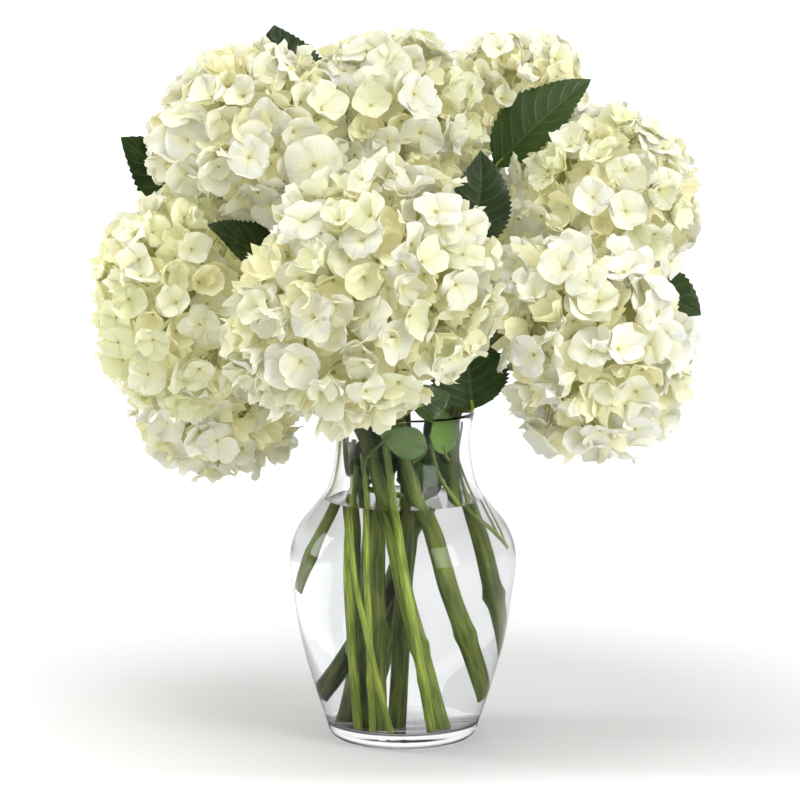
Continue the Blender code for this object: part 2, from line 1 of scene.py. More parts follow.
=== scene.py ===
# %% [markdown]
# # A vase of white hydrangeas
#
# This notebook dresses the imported model of a clear glass vase, its water, and nine hydrangea heads on leafy
# stems. The model gives the places and sizes, and each cell here makes one thing finer: smooth glass, water
# with its own surface, ridged stems, toothed leaves with veins, and heads made of single florets with
# curved sepals.
#
# The first step loads the imported model as a fixed frame. Its box is kept, because nothing made here may
# stand out of it. Its box is kept, so that the florets can be fitted inside it and the last cell can measure
# how far the finer pieces reach past it.

import math
import random
from collections import namedtuple

import bmesh
import bpy
import numpy as np
from mathutils import Matrix, Vector, noise
from mathutils.bvhtree import BVHTree


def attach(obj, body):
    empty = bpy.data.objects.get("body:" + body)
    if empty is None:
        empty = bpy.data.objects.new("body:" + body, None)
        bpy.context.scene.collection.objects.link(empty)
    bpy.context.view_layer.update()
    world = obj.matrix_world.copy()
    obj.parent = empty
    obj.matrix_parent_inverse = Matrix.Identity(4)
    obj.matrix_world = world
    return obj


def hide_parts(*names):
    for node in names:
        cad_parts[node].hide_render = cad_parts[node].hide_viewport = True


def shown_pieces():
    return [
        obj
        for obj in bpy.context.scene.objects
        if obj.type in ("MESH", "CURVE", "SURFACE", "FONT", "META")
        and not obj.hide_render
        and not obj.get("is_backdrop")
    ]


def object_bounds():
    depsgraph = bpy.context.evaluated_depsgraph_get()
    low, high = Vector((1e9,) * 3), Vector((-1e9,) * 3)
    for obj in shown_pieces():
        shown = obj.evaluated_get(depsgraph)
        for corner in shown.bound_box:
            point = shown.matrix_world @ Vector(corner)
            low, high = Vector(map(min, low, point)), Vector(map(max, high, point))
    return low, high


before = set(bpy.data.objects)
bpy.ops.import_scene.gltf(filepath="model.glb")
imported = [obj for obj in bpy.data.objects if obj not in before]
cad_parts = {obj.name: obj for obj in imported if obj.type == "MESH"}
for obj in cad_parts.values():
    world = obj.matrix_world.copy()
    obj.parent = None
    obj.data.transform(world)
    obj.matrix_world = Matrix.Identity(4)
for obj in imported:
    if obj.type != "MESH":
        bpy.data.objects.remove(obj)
cad_box = [[float(c) for c in corner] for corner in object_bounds()]
print("model box:", cad_box, "nodes:", len(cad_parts))

# %% [markdown]
# ## The numbers of the vase
#
# A blown vase is a turned shape, so one side line describes it all: foot, belly, shoulder, neck and flared
# rim. The same line is used for the outside, for the inside, which lies one wall further in, and for the
# water.

# %% The vase's side line
BASE_RADIUS = 0.0395
VASE_HEIGHT = 0.200
WALL = 0.003
FLOOR = 0.009
WATER_LEVEL = 0.146
GAP = 0.0003
SIDE = [
    (0.008, 0.0463),
    (0.029, 0.0533),
    (0.058, 0.0617),
    (0.086, 0.0664),
    (0.112, 0.0689),
    (0.129, 0.0639),
    (0.1435, 0.0526),
    (0.154, 0.0455),
    (0.168, 0.0420),
    (0.184, 0.0407),
    (VASE_HEIGHT, 0.0434),
]


def eased(t, start, end, slope_in, slope_out):
    """A cubic from start to end at share t, with those slopes at its ends."""
    near, far = 2 * t**3 - 3 * t**2 + 1, 3 * t**2 - 2 * t**3
    return near * start + (t**3 - 2 * t**2 + t) * slope_in + far * end + (t**3 - t**2) * slope_out


def side_radius(z):
    """The vase's outer radius at height z, on a smooth curve through SIDE."""
    heights = [s[0] for s in SIDE]
    radii = [s[1] for s in SIDE]
    last = len(SIDE) - 1
    slopes = []
    for i in range(len(SIDE)):
        low, high = max(i - 1, 0), min(i + 1, last)
        slopes.append((radii[high] - radii[low]) / (heights[high] - heights[low]))
    i = max(k for k in range(last) if heights[k] <= max(z, heights[0]))
    step = heights[i + 1] - heights[i]
    t = min(max((z - heights[i]) / step, 0.0), 1.0)
    return eased(t, radii[i], radii[i + 1], step * slopes[i], step * slopes[i + 1])


def inner_radius(z):
    """The vase's inner radius at height z, the wall's thickness inside the outer one."""
    rise = 0.001
    slope = (side_radius(z + rise) - side_radius(z - rise)) / (2 * rise)
    return side_radius(z) - WALL * math.hypot(1.0, slope)


print("belly:", round(2000 * side_radius(0.112), 1), "mm across")

# %% [markdown]
# ## The bouquet's plan
#
# Each head has a place, a size and a stem that runs from under it over the rim, through the neck and down
# into the water. Six thinner shoots stand among them. Each leaf grows from one stem, and three points give
# its midrib. The plan is the one that the solids follow, so every finer piece lands where its solid is.
# Only the five small leaves and the side shoots that fill the vase's neck have no solid of their own, so
# they stand in this plan alone.

# %% Heads, shoots and leaves
COLLAR_Z = 0.196
NECK_Z = 0.166
FOOT_Z = FLOOR + GAP
RECEPTACLE_SHARE = 0.86
STRAIGHT_UNDER_HEAD = 0.016
PETIOLE = 0.0013

Bloom = namedtuple("Bloom", "name centre radius stretch lean rise collar neck foot girth")
Shoot = namedtuple("Shoot", "name route girth")
Leaf = namedtuple("Leaf", "stem joins base bend tip width facing fold")
Twig = namedtuple("Twig", "stem leaves middle end girth")

BLOOMS = [
    Bloom("crown_left", (-0.0913, 0.015, 0.3600), 0.0580, 1.08, 50, 0.012,
          (166, 0.016), (178, 0.013), (237, 0.022, FOOT_Z), 0.0043),
    Bloom("crown_middle", (-0.0090, 0.045, 0.3735), 0.0555, 1.0, 0, 0.012,
          (80, 0.006), (30, 0.003), (200, 0.003, FOOT_Z), 0.0042),
    Bloom("crown_right", (0.0711, 0.100, 0.3860), 0.0430, 1.0, 0, 0.012,
          (54, 0.030), (60, 0.028), (138, 0.022, FOOT_Z), 0.0036),
    Bloom("right_upper", (0.1225, 0.045, 0.3224), 0.0575, 1.03, 80, 0.012,
          (20, 0.0295), (26, 0.028), (160, 0.038, 0.026), 0.0045),
    Bloom("right_lower", (0.1100, -0.020, 0.2420), 0.0605, 1.12, -35, 0.022,
          (-13, 0.0310), (-9, 0.029), (8, 0.050, 0.052), 0.0049),
    Bloom("front", (-0.0240, -0.088, 0.2775), 0.0695, 1.17, 50, 0.012,
          (-97, 0.0275), (-82, 0.025), (-3, 0.0415, 0.026), 0.0052),
    Bloom("left", (-0.1320, -0.012, 0.2664), 0.0535, 1.20, -10, 0.024,
          (192, 0.0300), (235, 0.028), (322, 0.0255, FOOT_Z), 0.0046),
    Bloom("back_left", (-0.1150, 0.062, 0.2080), 0.0560, 1.0, 0, 0.036,
          (143, 0.0305), (150, 0.0285), (202, 0.0215, FOOT_Z), 0.0042),
    Bloom("back", (0.0120, 0.130, 0.2880), 0.0650, 1.0, 0, 0.012,
          (99, 0.0310), (108, 0.0275), (130, 0.0305, FOOT_Z), 0.0046),
]

NECK_LEAVES = [
    Leaf("crown_middle", 0.152, (-0.0032, 0.0041, 0.1582), (0.0131, 0.0145, 0.1703), (0.0239, 0.0181, 0.1872),
         0.021, (0.534, -1.0, 0.054), 7),
    Leaf("back_left", 0.151, (-0.0179, 0.0133, 0.1566), (-0.0057, 0.0149, 0.1753), (-0.0004, 0.0167, 0.1915),
         0.022, (0.503, -1.0, 0.071), 11),
    Leaf("side_left", 0.158, (-0.0271, -0.0046, 0.1619), (-0.0188, -0.0067, 0.1789),
         (-0.0129, -0.0035, 0.1901), 0.021, (-0.570, -1.0, -0.165), 2),
    Leaf("right_upper", 0.160, (0.0261, 0.0063, 0.1644), (0.0291, 0.0075, 0.1782), (0.0247, 0.0021, 0.1963),
         0.016, (0.308, -1.0, -0.018), 4),
    Leaf("right_lower", 0.151, (0.0236, -0.0053, 0.1568), (0.0125, -0.0101, 0.1681),
         (-0.0034, -0.0081, 0.1807), 0.023, (0.005, -1.0, -0.188), 11),
]
TWIGS = [
    Twig("side_left", 0.166, (-0.0335, 0.0066, 0.1679), (-0.0336, -0.0015, 0.1854), 0.0011),
    Twig("slim_left", 0.163, (-0.0338, -0.002, 0.1632), (-0.0356, -0.0073, 0.1917), 0.0013),
    Twig("crown_middle", 0.146, (-0.0283, -0.0178, 0.1601), (-0.0287, -0.0173, 0.1854), 0.0018),
    Twig("slim_right", 0.122, (0.034, 0.0036, 0.1646), (0.0366, 0.0026, 0.1927), 0.0010),
    Twig("slim_right", 0.133, (0.0341, -0.0002, 0.1658), (0.0337, -0.0004, 0.1941), 0.0011),
    Twig("right_upper", 0.119, (-0.0248, 0.0231, 0.1673), (-0.0219, 0.0252, 0.1876), 0.0013),
    Twig("slim_right", 0.118, (0.0316, 0.0132, 0.1779), (0.0337, 0.0063, 0.1913), 0.0010),
    Twig("slim_middle", 0.174, (-0.0160, -0.0325, 0.1820), (-0.0070, -0.0350, 0.1910), 0.0010),
]
SHOOTS = [
    Shoot("side_left", [(-0.022, 0.006, 0.187), (-0.0275, 0.001, 0.160),
                        (-0.038, -0.004, 0.127), (-0.054, -0.004, 0.092)], 0.0036),
    Shoot("slim_left", [(-0.0305, -0.006, 0.182), (-0.0300, -0.011, 0.165),
                        (-0.0275, -0.021, 0.100), (-0.0235, -0.0205, FOOT_Z)], 0.0024),
    Shoot("slim_middle", [(-0.0235, -0.0255, 0.178), (-0.0205, -0.030, 0.140),
                          (-0.018, -0.0285, 0.090), (-0.0165, -0.0285, FOOT_Z)], 0.0019),
    Shoot("slim_cross", [(-0.027, -0.0235, 0.170), (-0.030, -0.026, 0.145),
                         (-0.0235, -0.0345, 0.095), (-0.0065, -0.0315, FOOT_Z)], 0.0018),
    Shoot("slim_right", [(0.016, -0.028, 0.184), (0.021, -0.027, 0.165),
                         (0.038, -0.020, 0.138), (0.057, -0.010, 0.116)], 0.0014),
    Shoot("front_middle", [(-0.010, -0.030, 0.184), (-0.0045, -0.031, 0.140),
                           (0.0065, -0.032, 0.070), (0.0156, -0.0275, FOOT_Z)], 0.0027),
]

LEAVES = [
    Leaf("crown_left", 0.285, (-0.062, 0.070, 0.370), (-0.074, 0.080, 0.405), (-0.080, 0.078, 0.431),
         0.052, (-0.3, -1.0, 0.4), 12),
    Leaf("crown_left", 0.275, (-0.116, 0.062, 0.318), (-0.146, 0.060, 0.338), (-0.173, 0.046, 0.363),
         0.050, (-0.2, -1.0, 0.5), 14),
    Leaf("crown_left", 0.255, (-0.070, -0.012, 0.281), (-0.086, -0.030, 0.299), (-0.114, -0.058, 0.317),
         0.042, (0.2, -1.0, 0.9), 10),
    Leaf("crown_right", 0.300, (0.058, 0.058, 0.345), (0.086, 0.054, 0.376), (0.116, 0.062, 0.398),
         0.044, (-0.5, -1.0, 0.7), 20),
    Leaf("crown_middle", 0.290, (0.038, 0.004, 0.300), (0.048, -0.004, 0.330), (0.046, -0.014, 0.358),
         0.040, (0.2, -1.0, 0.3), 14),
    Leaf("right_upper", 0.255, (0.126, 0.062, 0.258), (0.160, 0.054, 0.270), (0.1836, 0.040, 0.254),
         0.050, (0.2, -1.0, 0.3), 14),
    Leaf("right_lower", 0.202, (0.0415, -0.027, 0.205), (0.038, -0.034, 0.232), (0.036, -0.034, 0.258),
         0.046, (0.1, -1.0, 0.15), 10),
    Leaf("right_lower", 0.170, (0.0245, -0.0215, 0.177), (0.0235, -0.0235, 0.192), (0.0205, -0.0245, 0.209),
         0.023, (0.7, -0.7, 0.1), 6),
    Leaf("front", 0.170, (0.0135, -0.0335, 0.182), (0.001, -0.0338, 0.186), (-0.0145, -0.0325, 0.192),
         0.020, (0.0, -1.0, 0.0), 0),
    Leaf("front", 0.201, (0.006, -0.046, 0.208), (0.016, -0.046, 0.212), (0.028, -0.044, 0.216),
         0.022, (0.0, -1.0, 0.2), 8),
    Leaf("right_upper", 0.262, (0.084, 0.088, 0.306), (0.098, 0.112, 0.316), (0.100, 0.140, 0.302),
         0.048, (0.3, 0.5, 1.0), 12),
    Leaf("back", 0.235, (-0.042, 0.105, 0.330), (-0.066, 0.120, 0.342), (-0.086, 0.132, 0.332),
         0.048, (-0.3, 1.0, 0.8), 12),
    Leaf("back", 0.225, (0.020, 0.100, 0.216), (0.026, 0.136, 0.222), (0.024, 0.166, 0.204),
         0.048, (0.1, 0.5, 1.0), 12),
    Leaf("back_left", 0.228, (-0.040, 0.100, 0.212), (-0.042, 0.130, 0.218), (-0.048, 0.156, 0.200),
         0.044, (-0.2, 0.5, 1.0), 12),
]
print(len(BLOOMS), "heads,", len(SHOOTS), "shoots,", len(LEAVES), "leaves")

# %% [markdown]
# ## Tools for meshes
#
# Sepals, leaves and stems are all grids of points that bend, so one helper turns arrays of points and faces
# into an object. Two values go with each point. "place" says where it lies on its piece, such as along and
# across a sepal, and "tone" says how this one differs from the others. The materials read both, so no
# picture is needed.

# %% A mesh from arrays


def grid_faces(number):
    """Four-sided faces between the neighbours in a table of point numbers."""
    corners = [number[:-1, :-1], number[1:, :-1], number[1:, 1:], number[:-1, 1:]]
    return np.stack(corners, -1).reshape(-1, 4)


def lens_faces(along, across):
    """The faces of a thin plate with an upper and a lower sheet that share their edge points."""
    upper = np.arange((along + 1) * (across + 1)).reshape(along + 1, across + 1)
    lower = upper.copy()
    inside = (along - 1) * (across - 1)
    lower[1:-1, 1:-1] = upper.size + np.arange(inside).reshape(along - 1, across - 1)
    return np.concatenate([grid_faces(upper), grid_faces(lower)[:, ::-1]])


def build(name, points, faces, material, place=None, tone=None, sharp=50):
    """An object from arrays: faces is a list of arrays, each with its own number of corners a face."""
    mesh = bpy.data.meshes.new(name)
    corners = np.concatenate([np.asarray(f, dtype=np.int32).ravel() for f in faces])
    sizes = np.concatenate([np.full(len(f), np.asarray(f).shape[1]) for f in faces])
    mesh.vertices.add(len(points))
    mesh.vertices.foreach_set("co", np.asarray(points, dtype=np.float32).ravel())
    mesh.loops.add(len(corners))
    mesh.loops.foreach_set("vertex_index", corners)
    mesh.polygons.add(len(sizes))
    mesh.polygons.foreach_set("loop_start", np.concatenate([[0], np.cumsum(sizes)[:-1]]).astype(np.int32))
    mesh.update(calc_edges=True)
    for label, values in (("place", place), ("tone", tone)):
        if values is not None:
            layer = mesh.attributes.new(label, "FLOAT_VECTOR", "POINT")
            layer.data.foreach_set("vector", np.asarray(values, dtype=np.float32).ravel())
    mesh.shade_smooth()
    mesh.set_sharp_from_angle(angle=math.radians(sharp))
    mesh.materials.append(material)
    thing = bpy.data.objects.new(name, mesh)
    bpy.context.scene.collection.objects.link(thing)
    return thing


def triangles(thing):
    """How many triangles an object has."""
    return sum(len(face.vertices) - 2 for face in thing.data.polygons)


def smooth_route(points, steps=24):
    """A dense smooth curve through the points, sloping at each as its neighbours lie."""
    ends = [2 * points[0] - points[1], *points, 2 * points[-1] - points[-2]]
    route = []
    for before, start, end, after in zip(ends, ends[1:], ends[2:], ends[3:]):
        span = (end - start).length
        slope_in = (end - before) / (end - before).length * span
        slope_out = (after - start) / (after - start).length * span
        route += [eased(k / steps, start, end, slope_in, slope_out) for k in range(steps)]
    route.append(points[-1].copy())
    return route


def tube(centres, radii, sides, flat_end=None):
    """Arrays of a closed tube: points, faces, and the angle, in two parts, and length of each point."""
    centres = [Vector(c) for c in centres]
    ahead = [(b - a).normalized() for a, b in zip(centres[:1] + centres, centres[1:] + centres[-1:])]
    across = ahead[0].orthogonal().normalized()
    points, place, run = [], [], 0.0
    for i, centre in enumerate(centres):
        across = (across - ahead[i] * across.dot(ahead[i])).normalized()
        up = ahead[i].cross(across)
        run += (centre - centres[i - 1]).length if i else 0.0
        for k in range(sides):
            angle = math.tau * k / sides
            radius = radii[i][k] if np.ndim(radii[i]) else radii[i]
            point = centre + (across * math.cos(angle) + up * math.sin(angle)) * radius
            if flat_end is not None and i == len(centres) - 1:
                point += ahead[i] * ((flat_end - point.z) / ahead[i].z)
            points.append(point)
            place.append((math.cos(angle), math.sin(angle), run))
    number = np.arange(len(points)).reshape(len(centres), sides)
    rings = np.concatenate([number, number[:, :1]], axis=1)
    faces = [grid_faces(rings)[:, ::-1], number[:1], number[-1:, ::-1]]
    return np.array([p[:] for p in points]), faces, np.array(place)


def joined(parts):
    """Several sets of arrays as one: points, faces, and any values that go with the points."""
    faces, start = {}, 0
    for part in parts:
        for group in part[1]:
            faces.setdefault(np.asarray(group).shape[1], []).append(np.asarray(group) + start)
        start += len(part[0])
    columns = [np.concatenate([part[i] for part in parts]) for i in range(len(parts[0])) if i != 1]
    return [columns[0], [np.concatenate(groups) for groups in faces.values()], *columns[1:]]


print("a sepal grid of 6 by 6 has", 2 * len(lens_faces(6, 6)), "triangles")

# %% [markdown]
# ## Tools for materials
#
# A material here is a small net of nodes. Writing `node(...)` for each keeps the cells short. Two effects
# are used by several materials, so each is a node group that is made once: soft mottling between two
# colours, and thin lines that repeat along a value, which become the veins of leaves and sepals.

# %% Node helpers and the two shared groups


def node(tree, kind, links=None, **settings):
    """A node with its settings, its inputs set or linked by name or number."""
    made = tree.nodes.new(kind)
    for key, value in settings.items():
        setattr(made, key, value)
    for key, value in (links or {}).items():
        if isinstance(value, bpy.types.NodeSocket):
            tree.links.new(value, made.inputs[key])
        else:
            made.inputs[key].default_value = value
    return made


def coloured(value):
    """A colour's three numbers as the four that a socket takes. A socket stays as it is."""
    return value if isinstance(value, bpy.types.NodeSocket) else (*value, 1.0)


def maths(tree, operation, first, second=0.0, third=0.0):
    """The result of one sum."""
    return node(tree, "ShaderNodeMath", {0: first, 1: second, 2: third}, operation=operation).outputs[0]


def ranged(tree, value, low, high, to_low=0.0, to_high=1.0):
    """A value eased from one range to another."""
    links = {"Value": value, "From Min": low, "From Max": high, "To Min": to_low, "To Max": to_high}
    return node(tree, "ShaderNodeMapRange", links, interpolation_type="SMOOTHSTEP").outputs["Result"]


def blended(tree, share, first, second):
    """A colour between two, by share."""
    links = {"Factor": share, 6: coloured(first), 7: coloured(second)}
    return node(tree, "ShaderNodeMix", links, data_type="RGBA").outputs[2]


def parted(tree, vector):
    """A vector's three numbers, as sockets."""
    return node(tree, "ShaderNodeSeparateXYZ", {0: vector}).outputs


def grey(tree, level):
    """A grey of that level."""
    return node(tree, "ShaderNodeCombineXYZ", {0: level, 1: level, 2: level}).outputs[0]


def own_place(tree, kind="Object"):
    """The place on the object, or for the surround, with the kind Generated, the way it is looked at."""
    return node(tree, "ShaderNodeTexCoord").outputs[kind]


def attribute(tree, name):
    """The three numbers that the mesh keeps under that name, as sockets."""
    vector = node(tree, "ShaderNodeAttribute", attribute_name=name).outputs["Vector"]
    return parted(tree, vector), vector


def group(name, inputs, outputs):
    """An empty node group with sockets of those names and kinds, and its ends."""
    tree = bpy.data.node_groups.new(name, "ShaderNodeTree")
    for title, kind in inputs:
        tree.interface.new_socket(title, in_out="INPUT", socket_type=kind)
    for title, kind in outputs:
        tree.interface.new_socket(title, in_out="OUTPUT", socket_type=kind)
    return tree, tree.nodes.new("NodeGroupInput").outputs, tree.nodes.new("NodeGroupOutput").inputs


mottling, given, wanted = group(
    "soft mottling",
    [("Place", "NodeSocketVector"), ("Scale", "NodeSocketFloat"), ("Light", "NodeSocketColor"),
     ("Dark", "NodeSocketColor")],
    [("Colour", "NodeSocketColor"), ("Mask", "NodeSocketFloat")],
)
links = {"Vector": given["Place"], "Scale": given["Scale"], "Detail": 4.0}
cloud = node(mottling, "ShaderNodeTexNoise", links)
patches = ranged(mottling, cloud.outputs["Fac"], 0.34, 0.66)
mottling.links.new(blended(mottling, patches, given["Light"], given["Dark"]), wanted["Colour"])
mottling.links.new(patches, wanted["Mask"])

fine_lines, given, wanted = group(
    "thin lines", [("Count", "NodeSocketFloat"), ("Width", "NodeSocketFloat")], [("Line", "NodeSocketFloat")]
)
share = maths(fine_lines, "FRACT", given["Count"])
off = maths(fine_lines, "ABSOLUTE", maths(fine_lines, "SUBTRACT", share, 0.5))
line = ranged(fine_lines, off, given["Width"], 0.0)
fine_lines.links.new(line, wanted["Line"])


def mottled(tree, place, scale, light, dark):
    """The mottling group placed in a material: its colour and its mask."""
    links = {"Place": place, "Scale": scale, "Light": coloured(light), "Dark": coloured(dark)}
    made = node(tree, "ShaderNodeGroup", links, node_tree=mottling)
    return made.outputs["Colour"], made.outputs["Mask"]


def lines(tree, count, width):
    """The line group placed in a material: 1 on each line, one line for each whole step of count."""
    links = {"Count": count, "Width": width}
    return node(tree, "ShaderNodeGroup", links, node_tree=fine_lines).outputs["Line"]


def material(name, **sockets):
    """A new material: its tree and its shader, with the plain sockets set."""
    made = bpy.data.materials.new(name)
    made.use_nodes = True
    made.cycles.emission_sampling = "NONE"
    shader = made.node_tree.nodes["Principled BSDF"]
    for key, value in sockets.items():
        shader.inputs[key.replace("_", " ")].default_value = value
    return made, made.node_tree, shader


def bumped(tree, shader, height, strength, distance):
    """Gives the shader fine relief from a height."""
    bump = node(tree, "ShaderNodeBump", {"Strength": strength, "Distance": distance, "Height": height})
    tree.links.new(bump.outputs["Normal"], shader.inputs["Normal"])


print("groups:", [g.name for g in bpy.data.node_groups])

# %% [markdown]
# ## Glass and water
#
# Clear glass takes its look from what it bends and mirrors, so its material is plain: transmission 1 and
# the real index of 1.5. A faint film of dust and drip marks keeps the roughness from being the same all
# over. Water is the same with an index of 1.33. In a room of white walls both would mirror so much white
# that a milky veil lay over the stems. A photographer takes that off with a polarising filter, and here the
# specular tint does it.

# %% Their materials
FILTERED = (0.25, 0.25, 0.25, 1.0)

glass, tree, shader = material("clear glass", Metallic=0.0, Transmission_Weight=1.0, IOR=1.5)
shader.inputs["Base Color"].default_value = (0.985, 0.995, 0.992, 1.0)
shader.inputs["Specular Tint"].default_value = FILTERED
spot = own_place(tree)
_, film = mottled(tree, spot, 38.0, (1, 1, 1), (0, 0, 0))
tree.links.new(ranged(tree, film, 0.0, 1.0, 0.0, 0.012), shader.inputs["Roughness"])

water, tree, shader = material("vase water", Metallic=0.0, Transmission_Weight=1.0, IOR=1.333, Roughness=0.0)
spot = own_place(tree)
tint, _ = mottled(tree, spot, 9.0, (0.80, 0.80, 0.81), (0.74, 0.74, 0.75))
tree.links.new(tint, shader.inputs["Base Color"])
shader.inputs["Specular Tint"].default_value = FILTERED
print("glass and water made")

# %% [markdown]
# ## Petals, leaves and stems
#
# A hydrangea sepal is creamy white with a green-yellow claw and faint veins that fan out from the claw. Its
# edge is painted lighter and warmer, a painted highlight along the rim. Light passes through it, so some of
# the light is scattered under the surface. More comes through the sepals all round into the yellow claws and
# the depths of a head. Tracing that would take many bounces, so those parts get a painted glow instead, and
# every sepal glows faintly. Florets that sit deeper in a head are painted darker and more golden, partly
# their own yellower colour and partly painted shade. "place" holds across (-1 to 1), along (0 to 1) and how
# deep the floret sits (0 to 0.5), or 1 on its eye. "tone" holds the floret's own cream, because the heads run
# from nearly white to lime and no two florets are quite alike.

# %% The sepals' material
petals, tree, shader = material(
    "cream sepals", Roughness=0.6, Subsurface_Weight=0.4, Subsurface_Scale=0.005, Specular_IOR_Level=0.12
)
shader.inputs["Subsurface Radius"].default_value = (1.0, 0.85, 0.5)
(across, along, kind), place = attribute(tree, "place")
tint = node(tree, "ShaderNodeAttribute", attribute_name="tone").outputs["Vector"]
claw = maths(tree, "MULTIPLY", ranged(tree, along, 0.70, 0.0), 0.62)
edge = maths(tree, "MAXIMUM", maths(tree, "ABSOLUTE", across), along)
# Painted highlight: each sepal's edge is painted lighter and warmer along its rim.
rim_highlight_share = maths(tree, "MULTIPLY", ranged(tree, edge, 0.84, 1.0), 0.35)
depth = maths(tree, "MULTIPLY", kind, 2.0)
# Deeper florets are painted darker and more golden: partly their own yellower colour, partly painted shade in
# the depths of the head. The same share raises the painted glow there.
depth_tint_and_painted_light = maths(tree, "MULTIPLY", maths(tree, "MINIMUM", depth, 1.0), 0.78)
cream = blended(tree, claw, tint, (0.76, 0.74, 0.38))
cream = blended(tree, rim_highlight_share, cream, (0.93, 0.90, 0.68))
cream = blended(tree, depth_tint_and_painted_light, cream, (0.78, 0.745, 0.42))
cream = blended(tree, ranged(tree, kind, 0.8, 1.0), cream, (0.40, 0.36, 0.15))
tree.links.new(cream, shader.inputs["Base Color"])
# A painted glow: emission that stands in for the light passing through the sepals into the claws and the
# depths, with a faint glow on every sepal.
through = maths(tree, "MULTIPLY_ADD", maths(tree, "MAXIMUM", claw, depth_tint_and_painted_light), 0.12, 0.03)
painted_glow = node(tree, "ShaderNodeVectorMath", {0: cream, 3: through}, operation="SCALE").outputs[0]
tree.links.new(painted_glow, shader.inputs["Emission Color"])
shader.inputs["Emission Strength"].default_value = 1.0
fan = lines(tree, maths(tree, "MULTIPLY", across, 4.5), 0.16)
vein = maths(tree, "MULTIPLY", fan, ranged(tree, along, 1.0, 0.45))
crumple = node(tree, "ShaderNodeTexNoise", {"Vector": place, "Scale": 5.0, "Detail": 3.0}).outputs["Fac"]
bumped(tree, shader, maths(tree, "MULTIPLY_ADD", vein, -0.35, crumple), 0.35, 0.0006)
print("sepals:", len(tree.nodes), "nodes")

# %% [markdown]
# A leaf is deep green above and paler beneath, with a light midrib, seven or eight pairs of side veins that
# lean towards the tip, and a fine net between them. "place" holds across, along, and 1 on the underside.

# %% The leaves' material
SIDE_VEINS = 8
VEIN_LEAN = 0.24

leaf_green, tree, shader = material("hydrangea leaf", Roughness=0.5, Specular_IOR_Level=0.15)
(across, along, under), _ = attribute(tree, "place")
(chance, _, _), _ = attribute(tree, "tone")
out = maths(tree, "ABSOLUTE", across)
run = maths(tree, "MULTIPLY_ADD", maths(tree, "POWER", out, 1.2), -VEIN_LEAN, along)
ribs = lines(tree, maths(tree, "MULTIPLY", run, float(SIDE_VEINS)), 0.11)
ribs = maths(tree, "MULTIPLY", ribs, ranged(tree, out, 1.0, 0.5, 0.25, 1.0))
midrib = ranged(tree, out, 0.07, 0.02)
vein = maths(tree, "MAXIMUM", ribs, midrib)
spot = own_place(tree)
blade, patches = mottled(tree, spot, 90.0, (0.026, 0.048, 0.012), (0.013, 0.027, 0.008))
blade = blended(tree, maths(tree, "MULTIPLY", chance, 0.55), blade, (0.070, 0.140, 0.020))
blade = blended(tree, maths(tree, "MULTIPLY", vein, 0.30), blade, (0.13, 0.18, 0.060))
blade = blended(tree, maths(tree, "MULTIPLY", under, 0.55), blade, (0.10, 0.135, 0.060))
tree.links.new(blade, shader.inputs["Base Color"])
net = node(tree, "ShaderNodeTexVoronoi", {"Vector": spot, "Scale": 420.0}, feature="DISTANCE_TO_EDGE")
cells = maths(tree, "MULTIPLY", ranged(tree, net.outputs[0], 0.0, 0.09), 0.35)
bumped(tree, shader, maths(tree, "MULTIPLY_ADD", vein, -0.8, cells), 0.45, 0.0005)
tree.links.new(ranged(tree, patches, 0.0, 1.0, 0.42, 0.62), shader.inputs["Roughness"])
print("leaf:", len(tree.nodes), "nodes")

# %% [markdown]
# Stems are green and finely ridged, with darker streaks and small brown marks. The slim ones are young and
# bright, and the thick ones have turned olive. Where all of them are packed into the vase's neck, little
# light gets in, so a painted shade darkens them there, fading out round the rim. "place" holds the angle
# round the stem and the length along it. "tone" says how old the stem is, and how much of it is the pale
# green of the little stalks in a head.

# %% The stems' material
stem_green, tree, shader = material("green stem", Roughness=0.42, Specular_IOR_Level=0.22)
(turn_x, turn_y, length), _ = attribute(tree, "place")
(age, pale, cut), _ = attribute(tree, "tone")
drawn = node(
    tree, "ShaderNodeCombineXYZ", {0: turn_x, 1: turn_y, 2: maths(tree, "MULTIPLY", length, 22.0)}
).outputs[0]
young, _ = mottled(tree, drawn, 2.6, (0.42, 0.50, 0.080), (0.13, 0.20, 0.018))
old, _ = mottled(tree, drawn, 2.0, (0.120, 0.150, 0.030), (0.022, 0.028, 0.010))
bark = blended(tree, age, young, old)
spot = own_place(tree)
tall = parted(tree, spot)["Z"]
# Painted shade on the stems in the vase's neck, set by height.
neck_painted_shade = maths(tree, "MULTIPLY", ranged(tree, tall, 0.115, 0.170, 0.0, 0.80), ranged(tree, tall, 0.215, 0.190))
bark = blended(tree, neck_painted_shade, bark, (0.030, 0.042, 0.012))
dots = node(tree, "ShaderNodeTexVoronoi", {"Vector": drawn, "Scale": 5.5}).outputs["Distance"]
marks = maths(tree, "MULTIPLY", ranged(tree, dots, 0.20, 0.10), 0.5)
bark = blended(tree, marks, bark, (0.060, 0.042, 0.018))
bark = blended(tree, pale, bark, (0.72, 0.69, 0.38))
bark = blended(tree, cut, bark, (0.62, 0.62, 0.42))
tree.links.new(bark, shader.inputs["Base Color"])
ridges = node(
    tree, "ShaderNodeTexNoise", {"Vector": drawn, "Scale": 6.0, "Detail": 3.0, "Roughness": 0.6}
).outputs["Fac"]
bumped(tree, shader, ridges, 0.5, 0.0006)
print("stem:", len(tree.nodes), "nodes")

# %% [markdown]
# ## The vase and its water
#
# Both could be lathed with a screw modifier. Here each is turned from a list of radii and heights, because
# the inside has to follow the outside at one wall's thickness, and the water has to follow the inside. The
# water reaches a hair into the glass. Where two clear bodies meet, a small overlap makes the light bend as
# it does between real glass and water, and a gap would show a film of air.

# %% Turn the glass
SEGMENTS = 112
OVERLAP = 0.00015


def arc(centre, start, end, radius, steps):
    """Points on a rounded corner, as radius and height, between two angles in degrees."""
    turned = [math.radians(start + (end - start) * k / steps) for k in range(steps + 1)]
    return [(centre[0] + radius * math.cos(a), centre[1] + radius * math.sin(a)) for a in turned]


